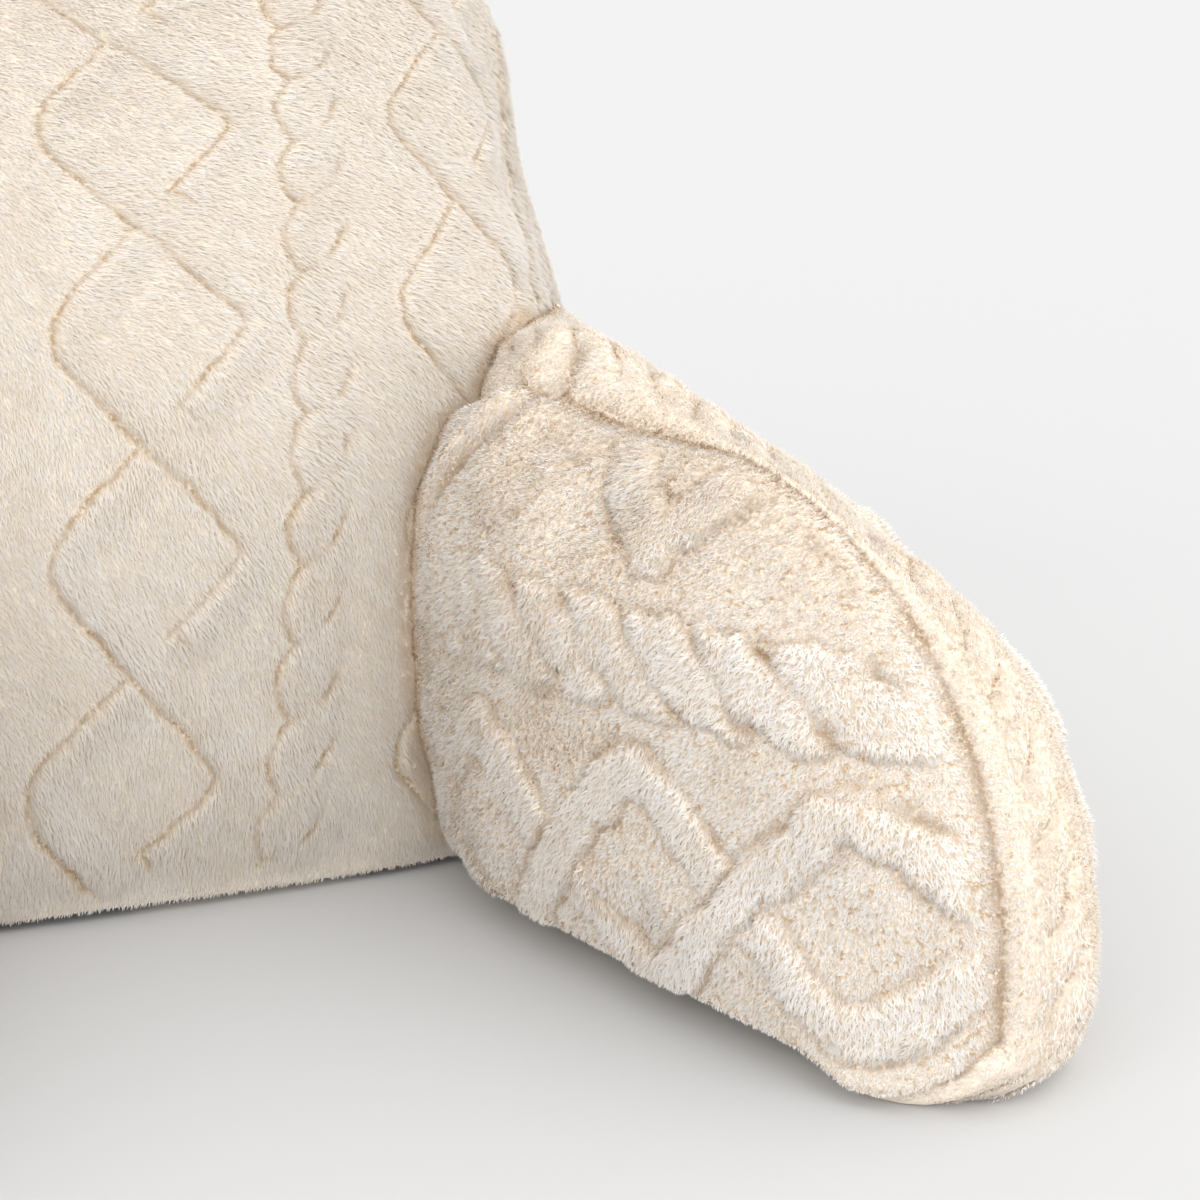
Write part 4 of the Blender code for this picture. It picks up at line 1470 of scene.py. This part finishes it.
def pile_mesh(name, field, length, rise, width, unruly):
    """Blades as one mesh.  length, rise and width are arrays, one value a blade."""
    count = field["count"]
    rng = field["rng"]
    normal = field["normal"]
    heading = unit(field["heading"])
    root = field["root"]
    across = unit(np.cross(heading, normal)) * (width * 0.5)[:, None]
    tip = root + (heading * np.cos(rise)[:, None] + normal * np.sin(rise)[:, None]) * length[:, None]
    points = np.stack((root - across, root + across, tip), axis=1)
    first = np.cross(points[:, 1] - points[:, 0], points[:, 2] - points[:, 0])
    turned = (first * normal).sum(1) < 0.0
    base = (np.arange(count) * 3)[:, None]
    corners = base + np.where(turned[:, None], np.array([[2, 1, 0]]), np.array([[0, 1, 2]]))
    flat = points.reshape(-1, 3)
    flat[:, 2] = np.maximum(flat[:, 2], LOWEST_TIP)
    tint = field["tint"] + rng.normal(0.0, 0.30, count)
    lean = field["sculpted"] + rng.normal(0.0, unruly, (count, 3))
    lean[:, 2] = np.maximum(lean[:, 2], -0.15)
    print(name, count, "blades")
    return finish_pile(
        triangle_mesh(name, flat, corners),
        {"tip": np.tile((0.0, 0.0, 1.0), count), "groove": np.repeat(field["groove"], 3),
         "tint": np.repeat(tint, 3)},
        np.repeat(unit(lean), 3, axis=0))


def mirrored(mesh, name):
    """The same pile on the other side: x turned over, and each face wound the other way."""
    places = read(mesh.vertices, "co", 3)
    places[:, 0] *= -1.0
    corners = read(mesh.loops, "vertex_index", kind=np.int32)
    per_vertex = np.zeros((len(places), 3))
    per_vertex[corners] = read(mesh.corner_normals, "vector", 3) * (-1.0, 1.0, 1.0)
    values = {key: read(mesh.attributes[key].data, "value") for key in ("tip", "groove", "tint")}
    out = finish_pile(triangle_mesh(name, places, corners.reshape(-1, 3)[:, ::-1]), values, per_vertex)
    for material in mesh.materials:
        out.materials.append(material)
    return out


print("blades end at least", LOWEST_TIP * 1000, "mm above the floor")

# %% [markdown]
# ## Materials
# The pile is polyester plush: matt fibres with a soft sheen, which let some light through.  Its roots
# are painted a darker cream than its paler tips, as shade deep in the pile, and the pile beside a groove
# is painted a warm tan, as shade in the groove.  Under it lies the knitted backing, which is duller; its
# darker beige is painted shade in the gaps between blades.

# %% Plush materials
FIBRE_GLOW = 0.35  # share of the light that passes through a blade
BODY_AT = 0.42  # the blade has its body colour this far up
TIP_AT = 0.95
WARM_TINT = "f6f1e9"  # darker blades are multiplied by this, so they go warm
GRAIN_SCALE = 420.0  # grains a metre, so 2.4 mm each: coarser than the real 1 mm loops, to show


def pile_material(name, root, body, tip, groove):
    """Matt fibres with a faint sheen, coloured from root to tip, with painted shade: darker roots and tan
    grooves.
    """
    mat, tree, shader = new_material(name, {
        "Roughness": 0.92, "Specular IOR Level": 0.15, "Sheen Weight": 0.12, "Sheen Roughness": 0.45})
    tip_at, tint_at, groove_shade_at = (add_node(tree, "ShaderNodeAttribute", {"attribute_name": key})
                                  for key in ("tip", "tint", "groove"))
    # painted shade: the ramp makes the roots darker than the tips, as shade deep in the pile
    ramp = add_node(tree, "ShaderNodeValToRGB", inputs={"Fac": tip_at.outputs["Fac"]})
    ramp.color_ramp.elements[0].color = srgb(root)
    ramp.color_ramp.elements[0].position = 0.0
    ramp.color_ramp.elements[1].color = srgb(tip)
    ramp.color_ramp.elements[1].position = TIP_AT
    middle = ramp.color_ramp.elements.new(BODY_AT)
    middle.color = srgb(body)
    shade = add_node(tree, "ShaderNodeMapRange", inputs={
        "Value": tint_at.outputs["Fac"], "From Min": 0.6, "From Max": -0.8, "To Min": 0.0, "To Max": 1.0})
    warm = add_node(tree, "ShaderNodeMix", {"data_type": "RGBA", "blend_type": "MULTIPLY"},
                    {"Factor": shade.outputs["Result"], "A": ramp.outputs["Color"], "B": srgb(WARM_TINT)})
    # painted shade: the groove value mixes in the tan of shade in grooves, seams, folds and creases
    share = add_node(tree, "ShaderNodeMath", {"operation": "MULTIPLY", "use_clamp": True},
                     {0: groove_shade_at.outputs["Fac"], 1: 0.95})
    parting_shade = add_node(tree, "ShaderNodeMix", {"data_type": "RGBA", "blend_type": "MIX"},
                      {"Factor": share.outputs["Value"], "A": warm.outputs["Result"], "B": srgb(groove)})
    tree.links.new(parting_shade.outputs["Result"], shader.inputs["Base Color"])
    through = add_node(tree, "ShaderNodeBsdfTranslucent", inputs={"Color": parting_shade.outputs["Result"]})
    both = add_node(tree, "ShaderNodeMixShader",
                    inputs={0: FIBRE_GLOW, 1: shader.outputs["BSDF"], 2: through.outputs["BSDF"]})
    tree.links.new(both.outputs["Shader"], tree.nodes["Material Output"].inputs["Surface"])
    return mat


def backing_material(name, body, crevice):
    """Knitted cloth with a fine grain of two colours, given darker than the pile as painted shade."""
    mat, tree, shader = new_material(name, {
        "Roughness": 0.95, "Specular IOR Level": 0.1, "Sheen Weight": 0.2})
    where = add_node(tree, "ShaderNodeTexCoord")
    grain = add_node(tree, "ShaderNodeTexNoise", inputs={
        "Vector": where.outputs["Object"], "Scale": GRAIN_SCALE, "Detail": 3.0, "Roughness": 0.6})
    cloth = add_node(tree, "ShaderNodeMix", {"data_type": "RGBA"},
                     {"Factor": grain.outputs["Fac"], "A": srgb(body), "B": srgb(crevice)})
    tree.links.new(cloth.outputs["Result"], shader.inputs["Base Color"])
    rough = add_node(tree, "ShaderNodeBump", inputs={
        "Height": grain.outputs["Fac"], "Strength": 0.6, "Distance": 0.0012})
    tree.links.new(rough.outputs["Normal"], shader.inputs["Normal"])
    return mat


# smooth, even pile: a soft cream with fine lines of painted tan shade; the cream is painted a little
# darker than the arms' pile, as shade against the stronger light on the backrest
back_pile = pile_material("combed polyester plush pile", "e0d9cf", "e8e4df", "ebe8e4", "c2a680")
# crisper pile: near-white locks with painted warm tan shade in the partings between them
arm_pile = pile_material("curly polyester plush pile", "f2e7d7", "fefdfc", "fefefe", "c6a67d")
# the backrest's backing is a quiet beige of painted shade for the gaps, so no bright flecks break its
# smooth pile
back_backing = backing_material("knitted backing of the combed plush", "ddd4c7", "d0c3b0")
# the arm's backing is painted shade too but lighter, so its fluffy pile doesn't look thin
arm_backing = backing_material("knitted backing of the curly plush", "ece5dc", "dccbb4")
print("materials:", [mat.name for mat in (back_pile, arm_pile, back_backing, arm_backing)])

# %% [markdown]
# ## Build the covers and their pile
# Each cushion gets its cover as one closed mesh, and its pile as two or three pieces, so that no piece
# grows too large.  Pile beside the next cushion is pressed down and shorter, and painted tan shade on it
# draws the soft crease between the backrest and the arms.

# %% Cushions
def cover_object(name, cover, material, mirror):
    points = cover["points"].copy()
    faces = [[int(v) for v in face] for face in cover["faces"]]
    if mirror:
        points[:, 0] *= -1.0
        faces = [face[::-1] for face in faces]
    mesh = bpy.data.meshes.new(name)
    mesh.from_pydata(points.tolist(), [], faces)
    mesh.polygons.foreach_set("use_smooth", np.ones(len(mesh.polygons), bool))
    mesh.materials.append(material)
    mesh.update()
    return new_object(name, mesh)


cushions = [cover_object("backrest_cushion", back, back_backing, False),
            cover_object("arm_right_cushion", arm, arm_backing, False),
            cover_object("arm_left_cushion", arm, arm_backing, True)]
print("cushions:", [cushion.name for cushion in cushions])

# %% Pile against the next cushion
CREASE_REACH = 0.008  # pile this near the next cushion is pressed down


def solid_tree(node):
    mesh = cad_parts[node].data
    return BVHTree.FromPolygons([v.co for v in mesh.vertices], [tuple(p.vertices) for p in mesh.polygons])


def press_against(field, nodes, drop):
    """Shorten the blades beside the solids they lean on and paint crease shade on them; drop those well
    inside.
    """
    keep = np.ones(field["count"], bool)
    root = field["root"]
    for node in nodes:
        tree = solid_tree(node)
        low, high = (np.array(corner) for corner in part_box(node))
        near = np.all((root > low - CREASE_REACH) & (root < high + CREASE_REACH), axis=1)
        for k in np.nonzero(near)[0]:
            place, face_normal, _, gap = tree.find_nearest(Vector(root[k]), 0.05)
            if place is None:
                continue
            if (Vector(root[k]) - place).dot(face_normal) < 0.0:
                gap = -gap
            if gap < -drop:
                keep[k] = False
            else:
                # painted shade: pile near the other cushion is tinted tan as the crease's shade, and
                # shortened
                pressed = 1.0 - min(max(gap / CREASE_REACH, 0.0), 1.0)
                field["groove"][k] = max(field["groove"][k], 0.85 * pressed)
    for key, value in list(field.items()):
        if isinstance(value, np.ndarray):
            field[key] = value[keep]
    field["count"] = int(keep.sum())
    return field


print("pile is pressed within", CREASE_REACH * 1000, "mm of the next cushion")

# %% [markdown]
# The backrest's blades are long and lie nearly flat, all combed the same way.  The arms' blades are
# shorter, stand up, and lean into their locks.  Both are shorter in the grooves and near the floor.

# %% Sizes of the blades
BACK_BLADE = (0.0048, 0.0008)  # length, and how much more of it on a cord
BACK_RISE = (21.0, 7.0)  # degrees above the cloth, and how much more on a cord
ARM_BLADE = (0.0027, 0.0011)
ARM_RISE = (46.0, -10.0)


def back_blade_sizes(field):
    rng = field["rng"]
    count = field["count"]
    length = (BACK_BLADE[0] + BACK_BLADE[1] * field["raised"]) * rng.uniform(0.84, 1.12, count)
    length = length * (1.0 - 0.72 * np.maximum(field["groove"], field["ahead"]))
    length = length * (0.40 + 0.60 * smooth_step(field["root"][:, 2], 0.003, 0.018))
    rise = np.radians(BACK_RISE[0] + BACK_RISE[1] * field["raised"] + rng.normal(0.0, 3.0, count))
    width = rng.uniform(0.0006, 0.0009, count)
    field["heading"] = field["heading"] + field["pull"] * 0.08
    return length, rise, width, 0.04


def arm_blade_sizes(field):
    rng = field["rng"]
    count = field["count"]
    near_floor = 0.55 + 0.45 * smooth_step(field["root"][:, 2], 0.006, 0.030)
    length = (ARM_BLADE[0] + ARM_BLADE[1] * field["raised"]) * rng.uniform(0.75, 1.2, count)
    length = length * (1.0 - 0.40 * np.maximum(field["groove"], 0.6 * field["ahead"]))
    length = length * (1.1 - 0.35 * field["lock"]) * near_floor
    rise = np.radians(ARM_RISE[0] + ARM_RISE[1] * field["raised"] + rng.normal(0.0, 8.0, count))
    width = rng.uniform(0.0006, 0.0010, count)
    field["heading"] = field["heading"] * 0.85 + field["pull"] * (1.4 - 0.4 * field["raised"])[:, None]
    return length, rise, width, 0.10


print("blades are", BACK_BLADE[0] * 1000, "mm long on the backrest and", ARM_BLADE[0] * 1000, "on the arms")

# %% Grow the pile
FRONT_BLADES = 125000
REAR_BLADES = 100000
PANEL_BLADES = 145000
REST_BLADES = 115000
HALFWAY = 0.235  # height where the front pile's two pieces meet


def faces_where(cover, test):
    return [k for k, face in enumerate(cover["faces"]) if test(cover["kinds"][k], cover["points"][face[0]])]


def grow_pile(name, field, sizes, material):
    mesh = pile_mesh(name, field, *sizes(field))
    mesh.materials.append(material)
    return new_object(name, mesh)


piles = []
for name, test, count, seed in (
        ("backrest_pile_low", lambda kind, p: kind == FRONT and p[2] < HALFWAY, FRONT_BLADES, 101),
        ("backrest_pile_high", lambda kind, p: kind == FRONT and p[2] >= HALFWAY, FRONT_BLADES, 102),
        ("backrest_pile_rear", lambda kind, p: kind == REAR, REAR_BLADES, 103)):
    field = blades(back, faces_where(back, test), count, seed)
    field = press_against(field, ("arm_left", "arm_right"), 0.001)
    piles.append(grow_pile(name, field, back_blade_sizes, back_pile))

for part, test, count, seed in (("inner", lambda kind, p: kind == INNER, PANEL_BLADES, 104),
                                ("outer", lambda kind, p: kind != INNER, REST_BLADES, 105)):
    field = blades(arm, faces_where(arm, test), count, seed)
    field = press_against(field, ("backrest",), 0.003)
    piles.append(grow_pile("arm_right_pile_" + part, field, arm_blade_sizes, arm_pile))
    left = "arm_left_pile_" + part
    piles.append(new_object(left, mirrored(piles[-1].data, left)))
print(len(piles), "pieces of pile")

# %% [markdown]
# ## Floor and light
# The cushion stands on a plain, pale floor.  A bright, even surround fills the shadows, and two wide,
# soft lights shape the relief: one low from the front left, one higher from the front right.

# %% Floor and lights
FLOOR_HALF = 20.0
SURROUND_STRENGTH = 1.02
SOFTBOXES = (  # name, the way its light travels, strength, width in degrees
    ("front softbox", (0.72, 0.66, -0.20), 2.05, 80.0),
    ("right softbox", (-0.66, 0.56, -0.50), 2.5, 100.0),
)


def plain_floor():
    """Matt white paper: no gloss, so it shows only the cushion's soft shadow."""
    mesh = bpy.data.meshes.new("floor")
    corners = [(x * FLOOR_HALF, y * FLOOR_HALF, 0) for x, y in ((-1, -1), (1, -1), (1, 1), (-1, 1))]
    mesh.from_pydata(corners, [], [(0, 1, 2, 3)])
    mesh.materials.append(new_material("matt white paper", {
        "Base Color": srgb("c4c4c4"), "Roughness": 0.9, "Specular IOR Level": 0.0})[0])
    return new_object("floor", mesh)


def soft_sun(name, towards, strength, spread):
    """A far, wide source: even light over everything, with soft shadows."""
    data = bpy.data.lights.new(name, "SUN")
    data.energy = strength
    data.angle = math.radians(spread)
    light = bpy.data.objects.new(name, data)
    light.rotation_euler = Vector(towards).to_track_quat("-Z", "Y").to_euler()
    bpy.context.scene.collection.objects.link(light)
    return light


floor = plain_floor()
world = bpy.data.worlds.new("surround")
world.use_nodes = True
world.node_tree.nodes["Background"].inputs["Color"].default_value = (1.0, 1.0, 1.0, 1.0)
world.node_tree.nodes["Background"].inputs["Strength"].default_value = SURROUND_STRENGTH
bpy.context.scene.world = world
lights = [soft_sun(*softbox) for softbox in SOFTBOXES]
bpy.context.scene.view_settings.view_transform = "Standard"
print("lights:", [light.name for light in lights])

# %% [markdown]
# ## Attach the pieces
# Every piece rides on the one body, and the three plain solids are hidden, as the three covers stand for
# them.  The cushions give way under a sitter.

for cushion, node, slot in zip(cushions, ("backrest", "arm_right", "arm_left"),
                               ("plush_back", "plush_arm", "plush_arm")):
    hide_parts(node)
    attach(cushion, "root")
for pile in piles:
    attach(pile, "root")

triangles = {}
for obj in cushions + piles:
    obj.data.calc_loop_triangles()
    triangles[obj.name] = len(obj.data.loop_triangles)
print("triangles", triangles, "in all", sum(triangles.values()))
